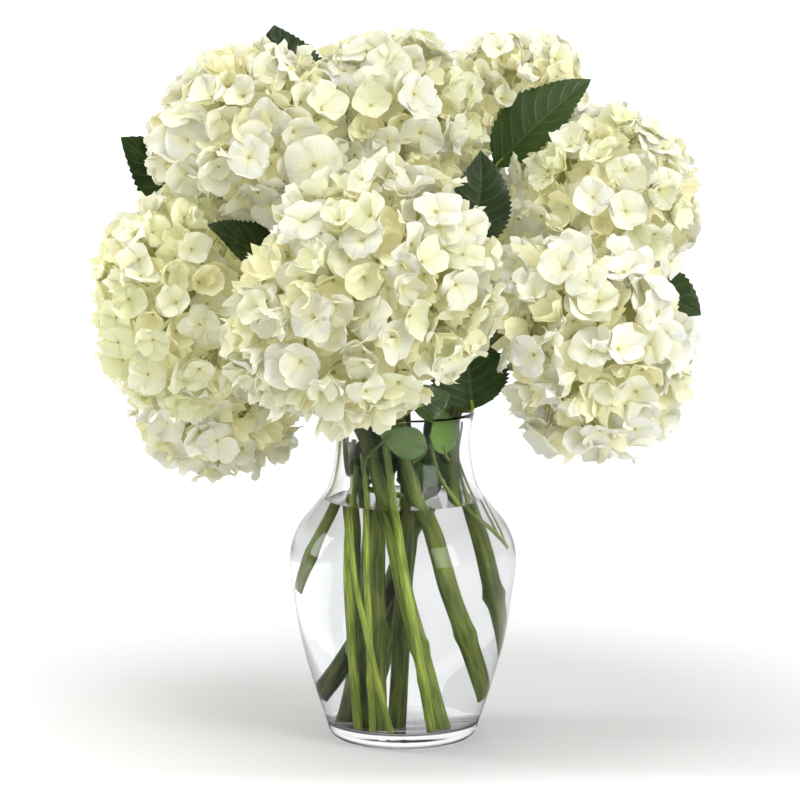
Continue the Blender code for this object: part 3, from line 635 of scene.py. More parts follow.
def turned(name, profile, finish):
    """A solid turned round the Z axis from a profile that starts and ends on the axis."""
    ring = np.array(profile[1:-1])
    angles = np.arange(SEGMENTS) * math.tau / SEGMENTS
    x = ring[:, :1] * np.cos(angles)
    y = ring[:, :1] * np.sin(angles)
    z = np.repeat(ring[:, 1:], SEGMENTS, axis=1)
    points = np.stack([x, y, z], -1).reshape(-1, 3)
    number = np.arange(len(points)).reshape(len(ring), SEGMENTS)
    rings = np.concatenate([number, number[:, :1]], axis=1)
    poles = np.array([[0, 0, profile[0][1]], [0, 0, profile[-1][1]]])
    first, last = len(points), len(points) + 1
    low = np.stack([np.full(SEGMENTS, first), rings[0, 1:], rings[0, :-1]], -1)
    high = np.stack([np.full(SEGMENTS, last), rings[-1, :-1], rings[-1, 1:]], -1)
    faces = [grid_faces(rings)[:, ::-1], low, high]
    return build(name, np.concatenate([points, poles]), faces, finish)


foot = [(0.0, 0.0012), (0.012, 0.0011), (0.024, 0.0007), (0.030, 0.0)]
heel = [(BASE_RADIUS, 0.0), (0.0418, 0.0006), (0.0436, 0.0018), (0.0450, 0.0038), (0.0458, 0.0058)]
outside = [(side_radius(z), z) for z in np.linspace(0.008, 0.1985, 66)]
rim_middle = side_radius(VASE_HEIGHT) - WALL / 2
rim = arc((rim_middle, VASE_HEIGHT - WALL / 2), 15, 165, WALL / 2, 8)
inside = [(inner_radius(z), z) for z in np.linspace(0.1975, 0.018, 60)]
corner = [(0.0445, 0.0158), (0.0434, 0.0135), (0.0415, 0.0114), (0.0388, 0.0099), (0.0360, 0.0092)]
well = [(0.030, FLOOR), (0.015, FLOOR), (0.0, FLOOR)]
vase = turned("glass_vase", foot + heel + outside + rim + inside + corner + well, glass)
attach(vase, "root")
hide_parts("vase")
print("vase:", triangles(vase), "triangles")

# %% [markdown]
# The water's surface creeps up a little where it meets the glass, which shows as a thin bright line.

# %% Fill in the water
MENISCUS = [(0.0060, 0.0), (0.0036, 0.00003), (0.0020, 0.00012), (0.0009, 0.0003), (0.0, 0.0006)]

lift = WATER_LEVEL - MENISCUS[-1][1] / 2
bed = [(0.0, FLOOR), (0.030, FLOOR), (0.0360, 0.0092), (0.0388, 0.0099), (0.0415, 0.0114), (0.0434, 0.0135)]
body = [(r + OVERLAP, z - OVERLAP) for r, z in bed[1:]] + [(0.0445 + OVERLAP, 0.0158)]
body += [(inner_radius(z) + OVERLAP, z) for z in np.linspace(0.018, lift, 44)]
wall = inner_radius(lift) + OVERLAP
top = [(inner_radius(lift + rise) + OVERLAP - back, lift + rise) for back, rise in reversed(MENISCUS)]
profile = [(0.0, FLOOR - OVERLAP), *body, *top, (wall / 2, lift), (0.0, lift)]
pool = turned("vase_water", profile, water)
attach(pool, "root")
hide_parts("water")
print("water:", triangles(pool), "triangles")

# %% [markdown]
# ## Stems
#
# Each stem is a tube along its route, a little thicker at its foot, with faint ridges, a swollen node where
# a pair of leaves sat, and a lumpy outline. The stalk of each leaf bends out of it. All are closed tubes
# that run into each other, as a stem and its stalks do.

# %% Make the stems and the leaf stalks
SIDES = 16
RING_STEP = 0.0035
TIP_SHARE = 0.82
NODE_AT = 0.80
NODE_REACH = 0.004
NODE_SWELL = 0.30
OLD_STEMS = {
    "crown_left": 0.75, "crown_middle": 0.9, "crown_right": 0.85, "right_upper": 1.0, "right_lower": 0.85,
    "front": 0.70, "left": 0.5, "back_left": 0.8, "back": 0.9, "side_left": 0.7, "slim_left": 0.10,
    "slim_middle": 0.0, "slim_cross": 0.05, "slim_right": 0.15, "front_middle": 0.12,
}


def polar(degrees, radius, z):
    """A point at that bearing and radius round the vase's axis."""
    angle = math.radians(degrees)
    return Vector((radius * math.cos(angle), radius * math.sin(angle), z))


def head_axis(bloom):
    """The way a head faces: straight away from where its stem passes the rim."""
    return (Vector(bloom.centre) - polar(*bloom.collar, COLLAR_Z + bloom.rise)).normalized()


def bloom_route(bloom):
    """A head's stem: from under the head, over the collar, through the neck and down to its foot."""
    away = head_axis(bloom)
    top = Vector(bloom.centre) - away * (bloom.radius * RECEPTACLE_SHARE + GAP)
    under = top - away * STRAIGHT_UNDER_HEAD
    guides = [polar(*bloom.collar, COLLAR_Z), polar(*bloom.neck, NECK_Z), polar(*bloom.foot)]
    return smooth_route([top, under, *guides])


def spaced(route, step):
    """Points along the route at even steps, and each one's share of the whole length."""
    run = np.concatenate([[0.0], np.cumsum([(b - a).length for a, b in zip(route, route[1:])])])
    count = max(int(run[-1] / step), 3)
    at = np.linspace(0, run[-1], count + 1)
    table = np.array([p[:] for p in route])
    return np.stack([np.interp(at, run, table[:, i]) for i in range(3)], -1), at / run[-1], run[-1]


def stem_arrays(route, girth, dice):
    """A ridged tube along a stem's route, with its node."""
    centres, shares, total = spaced(route, RING_STEP)
    angles = np.arange(SIDES) * math.tau / SIDES
    phase = dice.uniform(0, math.tau)
    radii = []
    for share in shares:
        swell = NODE_SWELL * math.exp(-(((share - NODE_AT) * total / NODE_REACH) ** 2))
        lumps = 0.03 * noise.noise((phase, share * total * 60, 0.0))
        ridge = 0.022 * np.cos(5 * angles + phase + 3 * share)
        buds = 0.6 * swell * np.maximum(np.cos(angles + phase), np.cos(angles + phase + math.pi)) ** 4
        plain = girth * (TIP_SHARE + (1 - TIP_SHARE) * share)
        radii.append(plain * (1.0 + 0.6 * swell + lumps + ridge + buds))
    flat_end = FOOT_Z if abs(route[-1].z - FOOT_Z) < GAP else None
    return tube(centres, radii, SIDES, flat_end)


def stalk_arrays(leaf, route):
    """A leaf's stalk: from inside its stem, sagging a little, to the foot of the blade."""
    start = min(route, key=lambda p: abs(p.z - leaf.joins))
    base, bend = Vector(leaf.base), Vector(leaf.bend)
    onto = base + (bend - base).normalized() * 0.006
    middle = start.lerp(base, 0.5) - Vector((0, 0, 0.001))
    centres, shares, _ = spaced(smooth_route([start, middle, base, onto], 8), 0.003)
    return tube(centres, [PETIOLE * (1.25 - 0.45 * share) for share in shares], 10)


def twig_arrays(twig, route):
    """A side shoot, from inside its stem and thinner towards its end."""
    start = min(route, key=lambda p: abs(p.z - twig.leaves))
    centres, shares, _ = spaced(smooth_route([start, Vector(twig.middle), Vector(twig.end)], 10), 0.003)
    return tube(centres, [twig.girth * (1.1 - 0.3 * share) for share in shares], 8)


def stem_tone(arrays, old):
    """The stem's age for its material, at each of its points."""
    tone = np.zeros((len(arrays[0]), 3))
    tone[:, 0] = old
    return [*arrays, tone]


routes = {bloom.name: bloom_route(bloom) for bloom in BLOOMS}
girths = {bloom.name: bloom.girth for bloom in BLOOMS}
for shoot in SHOOTS:
    routes[shoot.name] = smooth_route([Vector(p) for p in shoot.route])
    girths[shoot.name] = shoot.girth

stems = {}
for number, (name, route) in enumerate(routes.items()):
    parts = [stem_tone(stem_arrays(route, girths[name], random.Random(number)), OLD_STEMS[name])]
    own_leaves = [leaf for leaf in [*LEAVES, *NECK_LEAVES] if leaf.stem == name]
    parts += [stem_tone(stalk_arrays(leaf, route), 0.25) for leaf in own_leaves]
    parts += [stem_tone(twig_arrays(twig, route), 0.3) for twig in TWIGS if twig.stem == name]
    points, faces, place, tone = joined(parts)
    stems[name] = build("green_stem_" + name, points, faces, stem_green, place, tone, sharp=60)
    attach(stems[name], "root")
    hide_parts("stem_" + name)
print(len(stems), "stems:", sum(triangles(thing) for thing in stems.values()), "triangles")

# %% [markdown]
# ## Leaves
#
# A leaf could be one picture on a flat card, but close up the quilted surface between its side veins is
# what makes it look real. So the blade is a grid that is folded along its midrib, puffed up between the
# veins, waved along its sides and cut into teeth at its edge. An upper and a lower sheet share the edge and
# make it a thin closed solid. The leaves are not of one age, so each has its share of young bright green,
# and one shows its pale underside.

# %% Make the leaves
TEETH = 21
ROWS = 2 * TEETH
COLUMNS = 16
BLADE = 0.00055
PUFF = 0.0011
WAVE = 0.0013
TOOTH_OUT, TOOTH_IN, TOOTH_LEAN = 1.055, 0.955, 0.45


def leaf_arrays(leaf, dice):
    """The arrays of one leaf, with each point's place and tone."""
    t = np.repeat(np.linspace(0, 1, ROWS + 1), COLUMNS + 1)
    v = np.tile(np.linspace(-1, 1, COLUMNS + 1), ROWS + 1)
    row = np.repeat(np.arange(ROWS + 1), COLUMNS + 1)
    out = np.abs(v)
    tooth = (out > 0.99) & (row > 1) & (row < ROWS)
    t_used = np.where(tooth & (row % 2 == 1), np.minimum(t + TOOTH_LEAN / ROWS, 0.995), t)
    width = 0.5 * leaf.width * np.sin(math.pi * np.clip(t_used, 0.0, 0.9999) ** 0.72) ** 0.85
    width = np.where(t == 0.0, PETIOLE, np.maximum(width, 0.0003))
    reach = np.where(tooth & (row % 2 == 1), TOOTH_OUT, np.where(tooth, TOOTH_IN, 1.0))

    base, bend, tip = (np.array(p) for p in (leaf.base, leaf.bend, leaf.tip))
    s = t_used[:, None]
    spine = (1 - s) ** 2 * base + 2 * s * (1 - s) * bend + s**2 * tip
    ahead = 2 * (1 - s) * (bend - base) + 2 * s * (tip - bend)
    ahead /= np.linalg.norm(ahead, axis=1)[:, None]
    side = np.cross(ahead, np.array(leaf.facing))
    side /= np.linalg.norm(side, axis=1)[:, None]
    up = np.cross(side, ahead)

    size = leaf.width / 0.05
    phase = dice.uniform(0, math.tau)
    quilt = np.abs(np.sin(math.pi * SIDE_VEINS * (t - VEIN_LEAN * out**1.2))) ** 0.7
    quilt *= PUFF * size * np.clip(out / 0.22, 0, 1) * (1 - out**4) * np.sin(math.pi * np.clip(t, 0.03, 0.97))
    wave = WAVE * size * np.sin(math.tau * 2.4 * t + phase + np.sign(v) * 0.8) * out**2 * np.sin(math.pi * t)
    lift = math.tan(math.radians(leaf.fold)) * out * width + quilt + wave
    sheet = spine + side * (v * width * reach)[:, None] + up * lift[:, None]

    inner = ((out < 0.99) & (row > 0) & (row < ROWS)).reshape(-1)
    half = BLADE * (0.55 + 0.9 * np.exp(-((out / 0.09) ** 2)))[:, None]
    upper = sheet + up * np.where(inner[:, None], BLADE / 2, 0.0)
    points = np.concatenate([upper, (sheet - up * half)[inner]])
    place = np.stack([v, t, np.zeros_like(t)], -1)
    below = place[inner].copy()
    below[:, 2] = 1.0
    tone = np.tile([dice.uniform(0.1, 0.5), 0.0, 0.0], (len(points), 1))
    return points, [lens_faces(ROWS, COLUMNS)], np.concatenate([place, below]), tone


LEAF_TONES = {1: 0.1, 2: 0.1, 3: 0.55, 4: 0.1, 5: 0.5, 6: 0.4, 7: 1.7, 8: 0.9, 9: 0.7}
PALE_LEAVES = (8,)

leaf_parts = []
for number, leaf in enumerate([*LEAVES, *NECK_LEAVES]):
    points, faces, place, tone = leaf_arrays(leaf, random.Random(70 + number))
    tone[:, 0] = LEAF_TONES.get(number, tone[0, 0])
    if number in PALE_LEAVES:
        place[:, 2] = 1.0
    thing = build(f"leaf_{leaf.stem}_{number}", points, faces, leaf_green, place, tone, sharp=65)
    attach(thing, "root")
    leaf_parts.append(thing)
print(len(leaf_parts), "leaves:", sum(triangles(thing) for thing in leaf_parts), "triangles")

# %% [markdown]
# ## One floret
#
# What looks like a petal is a sepal: broad, rounded, narrow at its claw, lightly cupped and waved. Four of
# them, now and then five, stand crosswise round a small eye. Every floret is a little different, so a form
# is drawn by chance first, and then the same form is made twice: coarse, to see if it fits among the
# others, and fine.

# %% The form of a floret
SEPAL_HALF = 0.00013

Sepal = namedtuple("Sepal", "angle length width rise drop cup wave turns phase crease lift")


def floret_form(dice, closed=0.0):
    """The chance values of one floret's sepals. They lie flat at closed 0, and stand up like a bud's at 1."""
    count = 5 if dice.random() < 0.07 else 4
    bent = dice.uniform(0.10, 0.60)
    upright = dice.uniform(0.20, 0.60) + 1.25 * closed
    form = []
    for k in range(count):
        form.append(Sepal(
            angle=math.tau * k / count + dice.uniform(-0.13, 0.13),
            length=dice.uniform(0.88, 1.14) * (1 - 0.30 * closed),
            width=dice.uniform(1.18, 1.50) * (4 / count) ** 0.5,
            rise=upright + dice.uniform(-0.20, 0.25),
            drop=bent + dice.uniform(-0.15, 0.25),
            cup=dice.uniform(-0.20, 0.25) + 0.35 * closed,
            wave=dice.uniform(0.03, 0.11) + 0.06 * closed,
            turns=dice.uniform(0.6, 1.7),
            phase=dice.uniform(0, math.tau),
            crease=dice.uniform(0.0, 0.08),
            lift=0.05 * (k % 2),
        ))
    return form


def sepal_points(sepal, size, t, v):
    """Points of one sepal that lies along +X with its face up, at shares t along and v across."""
    shoulder = np.sin(math.pi / 2 * np.minimum(t / 0.60, 1.0)) ** 1.1
    taper = 1 - 0.34 * np.clip((t - 0.60) / 0.40, 0, 1) ** 2
    half = size * sepal.width * 0.5 * (0.22 + 0.78 * shoulder) * taper
    x = size * sepal.length * (0.06 + 0.94 * t * (1 - 0.25 * v * v))
    x += size * 0.02 * np.sin(3.1 * v + sepal.phase) * t**3
    y = v * half
    out = np.abs(v)
    z = sepal.rise * t - sepal.drop * t * t + sepal.cup * v * v * t + sepal.lift * (0.4 + 0.6 * t)
    z += sepal.wave * np.sin(sepal.turns * math.pi * v + sepal.phase) * t**1.5
    z += 0.5 * sepal.wave * np.sin(2.2 * math.pi * t + sepal.phase * 1.7) * out**2
    z -= sepal.crease * (1 - out) ** 3 * t * (1 - t) * 4
    points = np.stack([x, y, size * z], -1)
    turn = np.array([[math.cos(sepal.angle), -math.sin(sepal.angle), 0],
                     [math.sin(sepal.angle), math.cos(sepal.angle), 0], [0, 0, 1]])
    return points @ turn.T


def grid_shares(along, across):
    """The shares along and across at each point of a grid."""
    t = np.repeat(np.linspace(0, 1, along + 1), across + 1)
    return t, np.tile(np.linspace(-1, 1, across + 1), along + 1)


def sheet_of(along, across):
    """The shares, the points off the edge and the faces of a sepal's grid."""
    t, v = grid_shares(along, across)
    return t, v, (np.abs(v) < 0.99) & (t > 0.01) & (t < 0.99), lens_faces(along, across)


FINE = sheet_of(5, 6)
HIDDEN = sheet_of(4, 4)
COARSE = grid_shares(2, 2)
COARSE_QUADS = grid_faces(np.arange(9).reshape(3, 3))
COARSE_FACES = np.concatenate([COARSE_QUADS[:, :3], COARSE_QUADS[:, [0, 2, 3]]])


def eye_arrays(size):
    """The small bud in the middle of a floret: a six-sided dome."""
    rings = [(0.055, 0.01), (0.075, 0.06), (0.055, 0.115)]
    points = [(size * r * math.cos(k * math.pi / 3), size * r * math.sin(k * math.pi / 3), size * z)
              for r, z in rings for k in range(6)]
    points += [(0, 0, 0), (0, 0, size * 0.14)]
    number = np.arange(18).reshape(3, 6)
    loop = np.concatenate([number, number[:, :1]], axis=1)
    low = np.stack([np.full(6, 18), loop[0, 1:], loop[0, :-1]], -1)
    high = np.stack([np.full(6, 19), loop[-1, :-1], loop[-1, 1:]], -1)
    return np.array(points), [grid_faces(loop)[:, ::-1], np.concatenate([low, high])]


def floret_arrays(form, size, tone, grid):
    """The arrays of one floret at the origin, facing up."""
    parts = []
    t, v, inner, lens = grid
    for sepal in form:
        sheet = sepal_points(sepal, size, t, v)
        above = sheet + np.where(inner[:, None], [0, 0, SEPAL_HALF], 0)
        points = np.concatenate([above, sheet[inner] - [0, 0, SEPAL_HALF]])
        shares = np.stack([v, t, np.zeros_like(t)], -1)
        shares = np.concatenate([shares, shares[inner]])
        parts.append((points, [lens], shares, np.tile(tone, (len(points), 1))))
    points, faces = eye_arrays(size)
    shares = np.tile([0.0, 0.5, 1.0], (len(points), 1))
    parts.append((points, faces, shares, np.tile(tone, (len(points), 1))))
    return joined(parts)


sample = floret_arrays(floret_form(random.Random(1)), 0.0135, (0, 0, 0), FINE)
print("a floret has", sum((np.asarray(f).shape[1] - 2) * len(f) for f in sample[1]), "triangles")

# %% [markdown]
# ## The heads
#
# A head is a ball of florets that is drawn out a little and pressed flat where it meets its neighbours, and
# two heads are pressed flatter where a leaf or the vase is in their way. Scattering florets with a particle
# system would let them cut through leaves and each other. Here each place on the ball gets a few tries with
# another tilt, turn and height, and the try that cuts the fewest neighbours stays. A floret that would pass
# through a leaf or the glass is left out, and so is one that would hide a leaf, or the one wide floret,
# that the bouquet shows at its front.

# %% Where florets can go
HEAD_ZONE = math.radians(138)
LOOKS = {
    "crown_left": (0.0146, (0.84, 0.835, 0.76)), "crown_middle": (0.0132, (0.79, 0.785, 0.70)),
    "crown_right": (0.0124, (0.85, 0.840, 0.75)), "right_upper": (0.0132, (0.85, 0.845, 0.78)),
    "right_lower": (0.0150, (0.87, 0.870, 0.84)), "front": (0.0142, (0.78, 0.770, 0.68)),
    "left": (0.0126, (0.90, 0.895, 0.72)), "back_left": (0.0142, (0.83, 0.825, 0.74)),
    "back": (0.0138, (0.83, 0.820, 0.73)),
}
SPACING = 1.06
TRIES = 7
PRESS_IN = 0.009
PRESSED = {
    "crown_left": [((-0.60, 0.0, 0.80), 0.047)],
    "front": [((-0.25, 0.0, -0.97), 0.060), ((-0.90, 0.0, 0.44), 0.051)],
}


def head_surface(bloom):
    """Three functions of a head: the point along a direction, the way it faces, and how far points reach."""
    centre = Vector(bloom.centre)
    lean = math.radians(bloom.lean)
    turn = head_axis(bloom).to_track_quat("Z", "Y").to_matrix()
    drawn = Matrix.Scale(bloom.stretch, 3, (math.sin(lean), 0.0, math.cos(lean)))
    shape = drawn @ turn
    planes = [(Vector(normal).normalized(), distance) for normal, distance in PRESSED.get(bloom.name, [])]
    for other in BLOOMS:
        between = Vector(other.centre) - centre
        apart = between.length
        if other is not bloom and apart < (bloom.radius + other.radius) * 1.25:
            share = (apart**2 + bloom.radius**2 - other.radius**2) / (2 * apart)
            planes.append((between / apart, share + PRESS_IN))

    def out(way, radius):
        line = shape @ way * (1 + 0.07 * noise.noise(way * 2.0 + centre * 90))
        limit = radius
        for normal, distance in planes:
            ahead = line.dot(normal)
            if ahead > 1e-6:
                limit = min(limit, distance / ahead)
        return centre + line * limit, limit / radius

    def facing(way):
        return (drawn.inverted().transposed() @ (turn @ way)).normalized()

    flat = np.array(shape.inverted())

    def height(points):
        return np.linalg.norm((points - np.array(centre)) @ flat.T, axis=1).max() / bloom.radius

    return out, facing, height


def spread(bloom, size, dice):
    """Directions spread evenly over the part of a head that carries florets, from its top down."""
    depth = 1 - math.cos(HEAD_ZONE)
    area = 2 * math.pi * depth * bloom.radius**2 * bloom.stretch
    count = round(area / (size * SPACING) ** 2)
    golden_turn = math.pi * (3 - math.sqrt(5))
    found = []
    for i in range(count):
        z = max(min(1 - depth * (i + 0.5) / count + dice.uniform(-0.03, 0.03), 0.999), -0.999)
        angle = i * golden_turn + dice.uniform(-0.2, 0.2)
        flat = math.sqrt(1 - z * z)
        found.append(Vector((flat * math.cos(angle), flat * math.sin(angle), z)))
    return found


def tree_of(things):
    """One search tree over the faces of several objects."""
    points, faces = [], []
    for thing in things:
        start = len(points)
        points += [v.co.copy() for v in thing.data.vertices]
        faces += [[start + v for v in face.vertices] for face in thing.data.polygons]
    return BVHTree.FromPolygons(points, faces)


obstacles = tree_of([vase, *leaf_parts, *stems.values()])
print("places on the front head:", len(spread(BLOOMS[5], 0.0138, random.Random(0))))

# %% Fit the florets
KEPT_CLEAR = [
    ((-0.096, -0.058, 0.308), 0.024), ((-0.080, -0.052, 0.291), 0.020), ((-0.094, -0.056, 0.290), 0.024),
    ((-0.082, -0.056, 0.280), 0.018), ((0.152, -0.004, 0.262), 0.026), ((0.176, 0.022, 0.262), 0.016),
    ((0.036, -0.052, 0.238), 0.016), ((0.022, -0.080, 0.222), 0.020), ((0.046, -0.030, 0.345), 0.016),
    ((-0.048, -0.072, 0.348), 0.020),
]
Placed = namedtuple("Placed", "centre turn size form tree way share closed")
REACH = 1.13
LEAST_KEPT = 0.74
OUTER_SHARES = (0.86, 0.99)
DEEP_SHARES = (0.72, 0.84)
LOWER_EACH_TRY = 0.015
FILL_DROP = 0.08
TILTS = {"outer": 0.80, "deep": 0.85, "filling": 0.45}
LATE_COST = 0.6
HIGH_COST = 400
BOX_COST = 20000
BOX = np.array(cad_box) + [[0.0015], [-0.0015]]
placed_centres = []
placed = []


def coarse_tree(form, size, centre, turn):
    """A small search tree of a floret, for the fit."""
    t, v = COARSE
    sheets = [sepal_points(sepal, size, 0.12 + 0.86 * t, v * 0.95) for sepal in form]
    points = np.concatenate(sheets) @ turn.T + centre
    faces = np.concatenate([COARSE_FACES + 9 * k for k in range(len(form))])
    return points, BVHTree.FromPolygons(points.tolist(), faces.tolist())


def frame_for(normal, spin):
    """The turning matrix that stands a floret's face along normal, spun round it."""
    up = Vector(normal)
    first = up.orthogonal().normalized()
    first = Matrix.Rotation(spin, 3, up) @ first
    return np.array([first, up.cross(first), up]).T


def crossings(tree, centre, size):
    """How many faces of the neighbours a floret cuts."""
    if not placed_centres:
        return 0
    gaps = np.linalg.norm(np.array(placed_centres) - centre, axis=1)
    return sum(len(tree.overlap(placed[i].tree)) for i in np.flatnonzero(gaps < size * 2.2))


def fit(bloom, way, out, facing, height, size, deep, dice, filling=False):
    """The best of a few tries for one floret, or None if each would pass through a leaf or the glass."""
    best, least = None, 1e9
    for attempt in range(TRIES):
        share = dice.uniform(*(DEEP_SHARES if deep else OUTER_SHARES))
        share -= LOWER_EACH_TRY * attempt + FILL_DROP * filling
        spot, kept = out(way, bloom.radius * share)
        if kept < LEAST_KEPT:
            return None
        leeway = TILTS["filling" if filling else "deep" if deep else "outer"]
        tilt = Vector([dice.uniform(-1, 1) for _ in range(3)]) * leeway
        turn = frame_for((facing(way) + tilt).normalized(), dice.uniform(0, math.tau))
        if not filling and any((spot - Vector(middle)).length < radius for middle, radius in KEPT_CLEAR):
            continue
        closed = dice.uniform(0.2, 0.9) if deep else dice.random() ** 2.2
        grown = size * dice.uniform(0.90, 1.14) * (1 - 0.22 * closed)
        form = floret_form(dice, closed)
        centre = np.array(spot)
        points, tree = coarse_tree(form, grown, centre, turn)
        if tree.overlap(obstacles):
            continue
        past_box = max((BOX[0] - points).max(), (points - BOX[1]).max(), 0.0)
        cuts = crossings(tree, centre, size) + LATE_COST * attempt
        cuts += HIGH_COST * max(height(points) - REACH, 0.0) + BOX_COST * past_box
        if cuts < least:
            best, least = Placed(centre, turn, grown, form, tree, way, share, closed), cuts
    return best


def remember(floret):
    """Keeps a floret, so that the next ones make room for it."""
    placed.append(floret)
    placed_centres.append(floret.centre)


def wide_open(bloom, centre, normal, size, dice):
    """A single large flat floret at a given place on a head."""
    flat = {"rise": 0.12, "drop": 0.16, "width": 1.38, "length": 1.0, "wave": 0.04}
    form = [sepal._replace(**flat) for sepal in floret_form(dice)]
    turn = frame_for(Vector(normal).normalized(), 0.25)
    upright = head_axis(bloom).to_track_quat("Z", "Y").to_matrix().inverted()
    way = (upright @ (Vector(centre) - Vector(bloom.centre))).normalized()
    centre = np.array(centre)
    _, tree = coarse_tree(form, size, centre, turn)
    return Placed(centre, turn, size, form, tree, way, 1.0, 0.0)


OPEN_ONES = {"crown_left": ((-0.0520, -0.0400, 0.3510), (0.15, -1.0, 0.15), 0.0190)}

heads = {}
for number, bloom in enumerate(BLOOMS):
    dice = random.Random(400 + number)
    out, facing, height = head_surface(bloom)
    size, _ = LOOKS[bloom.name]
    found = []
    if bloom.name in OPEN_ONES:
        floret = wide_open(bloom, *OPEN_ONES[bloom.name], random.Random(3))
        remember(floret)
        found.append((floret, False))
    for i, way in enumerate(spread(bloom, size, dice)):
        floret = fit(bloom, way, out, facing, height, size, i % 5 in (1, 3), dice)
        if floret:
            remember(floret)
            found.append((floret, i % 5 in (1, 3)))
    heads[bloom.name] = found
print("florets:", {name: len(found) for name, found in heads.items()})

# %% [markdown]
# A few places on a head are still bare, mostly where florets were kept off a leaf that shows in front of
# them. Each gets a floret that sits deeper and looks straight out, so no gap shows the heart or the far
# side.

# %% Fill the bare places
BARE = 0.82
DEEP_ONES = {"front": ((-0.0390, -0.1180, 0.2385), (-0.2, -1.0, -0.35), 0.0155)}

for number, bloom in enumerate(BLOOMS):
    dice = random.Random(700 + number)
    out, facing, height = head_surface(bloom)
    size, _ = LOOKS[bloom.name]
    found = heads[bloom.name]
    if bloom.name in DEEP_ONES:
        floret = wide_open(bloom, *DEEP_ONES[bloom.name], random.Random(4))
        remember(floret)
        found.append((floret, True))
    for way in spread(bloom, size * 0.6, dice):
        gap = bloom.radius * min(way.angle(floret.way) for floret, _ in found)
        if gap > size * BARE and out(way, bloom.radius * 0.8)[1] > 0.9:
            floret = fit(bloom, way, out, facing, height, size, True, dice, filling=True)
            if floret:
                remember(floret)
                found.append((floret, True))
print("with the bare places filled:", {name: len(found) for name, found in heads.items()})

# %% [markdown]
# Now each head becomes one mesh of its fine florets, with a tone for each. Under them go the pale green
# stalks: short ones from each floret inward, thicker branches from the top of the stem, and a small green
# heart that keeps the light from shining through the middle.

# %% Build the heads
STALK = 0.00055
BRANCHES = 13
HEART = 0.63
HEART_FALL = 0.15
YELLOWING = (0.045, 0.035, 0.24)
LIME_PATCHES = 38
LIME = (0.80, 0.84, 0.40)
LIME_SHARE = {
    "crown_left": 0.15, "crown_middle": 0.40, "crown_right": 0.30, "right_upper": 0.45, "right_lower": 0.08,
    "front": 0.45, "left": 0.75, "back_left": 0.15, "back": 0.40,
}


def bezier(start, control, end, steps):
    """Points on a curve that bends towards control."""
    shares = [k / steps for k in range(steps + 1)]
    return [(1 - t) ** 2 * start + 2 * t * (1 - t) * control + t * t * end for t in shares]


def heart_arrays(bloom, out):
    """The lumpy green heart of a head."""
    ball = bmesh.new()
    bmesh.ops.create_icosphere(ball, subdivisions=3, radius=1.0)
    points = []
    for vert in ball.verts:
        way = vert.co.normalized()
        fall = min(max((0.1 - way.z) / 1.0, 0.0), 1.0)
        lump = 0.05 * noise.noise(way * 4.0)
        spot, _ = out(way, bloom.radius * (HEART - HEART_FALL * fall + lump))
        points.append(spot[:])
    faces = np.array([[v.index for v in face.verts] for face in ball.faces])
    ball.free()
    return np.array(points), [faces], np.array(points) * 0 + [1, 0, 0]


def toned(arrays, tone):
    """Arrays with one tone at each point."""
    return [*arrays, np.tile(tone, (len(arrays[0]), 1))]


for bloom in BLOOMS:
    out, _, _ = head_surface(bloom)
    dice = random.Random(bloom.name)
    _, cream = LOOKS[bloom.name]
    flowers, greens = [], [toned(heart_arrays(bloom, out), (0.15, 0.75, 0.0))]
    for floret, deep in heads[bloom.name]:
        fade = 0.6 * floret.closed + dice.uniform(0.0, 0.7)
        pale = dice.uniform(0.97, 1.03)
        tone = [c * pale * (1 - t * fade) for c, t in zip(cream, YELLOWING)]
        patch = noise.noise(Vector(floret.centre) * LIME_PATCHES) + dice.uniform(-0.25, 0.25)
        lime = LIME_SHARE[bloom.name] * min(max((patch + 0.15) / 0.5, 0.0), 1.0)
        tone = [c * (1 - lime) + g * lime for c, g in zip(tone, LIME)]
        points, faces, place, tones = floret_arrays(floret.form, floret.size, tone, HIDDEN if deep else FINE)
        # Florets low in a head count as deeper, so their sepals get more of the painted depth shade and glow.
        sunk = deep * dice.uniform(0.25, 0.5) + max(0.0, 0.18 - 2.5 * (floret.share - 0.80))
        place[:, 2] += np.where(place[:, 2] < 0.5, min(sunk, 0.5), 0.0)
        flowers.append((points @ floret.turn.T + floret.centre, faces, place, tones))
        root, _ = out((floret.way - Vector((0, 0, 0.22))).normalized(), bloom.radius * (HEART - 0.02))
        head = Vector(floret.centre)
        below = head - Vector(floret.turn[:, 2]) * 0.006
        stalk = tube(bezier(head, below, root, 3), [STALK, STALK, STALK * 1.2, STALK * 1.4], 5)
        greens.append(toned(stalk, (0.1, 0.85, 0.0)))
    axis = head_axis(bloom)
    seat = Vector(bloom.centre) - axis * bloom.radius * (RECEPTACLE_SHARE - 0.04)
    for k in range(BRANCHES):
        angle = k * 2.4
        slant = math.radians(48 + 62 * (k + 0.5) / BRANCHES)
        way = Vector((math.sin(slant) * math.cos(angle), math.sin(slant) * math.sin(angle), math.cos(slant)))
        end, _ = out(way, bloom.radius * 0.74)
        control = seat + axis * bloom.radius * 0.22 + (end - seat) * 0.25
        girth = bloom.girth * 0.34
        centres = bezier(seat, control, end, 7)
        radii = [girth * (1 - 0.5 * i / 7) for i in range(8)]
        greens.append(toned(tube(centres, radii, 7), (0.1, 0.45, 0.0)))
    points, faces, place, tone = joined(flowers)
    head = build("florets_" + bloom.name, points, faces, petals, place, tone, sharp=70)
    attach(head, "root")
    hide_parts("bloom_" + bloom.name)
    points, faces, place, tone = joined(greens)
    branches = build("branches_" + bloom.name, points, faces, stem_green, place, tone, sharp=60)
    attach(branches, "root")
    print(bloom.name, triangles(head), "+", triangles(branches), "triangles")
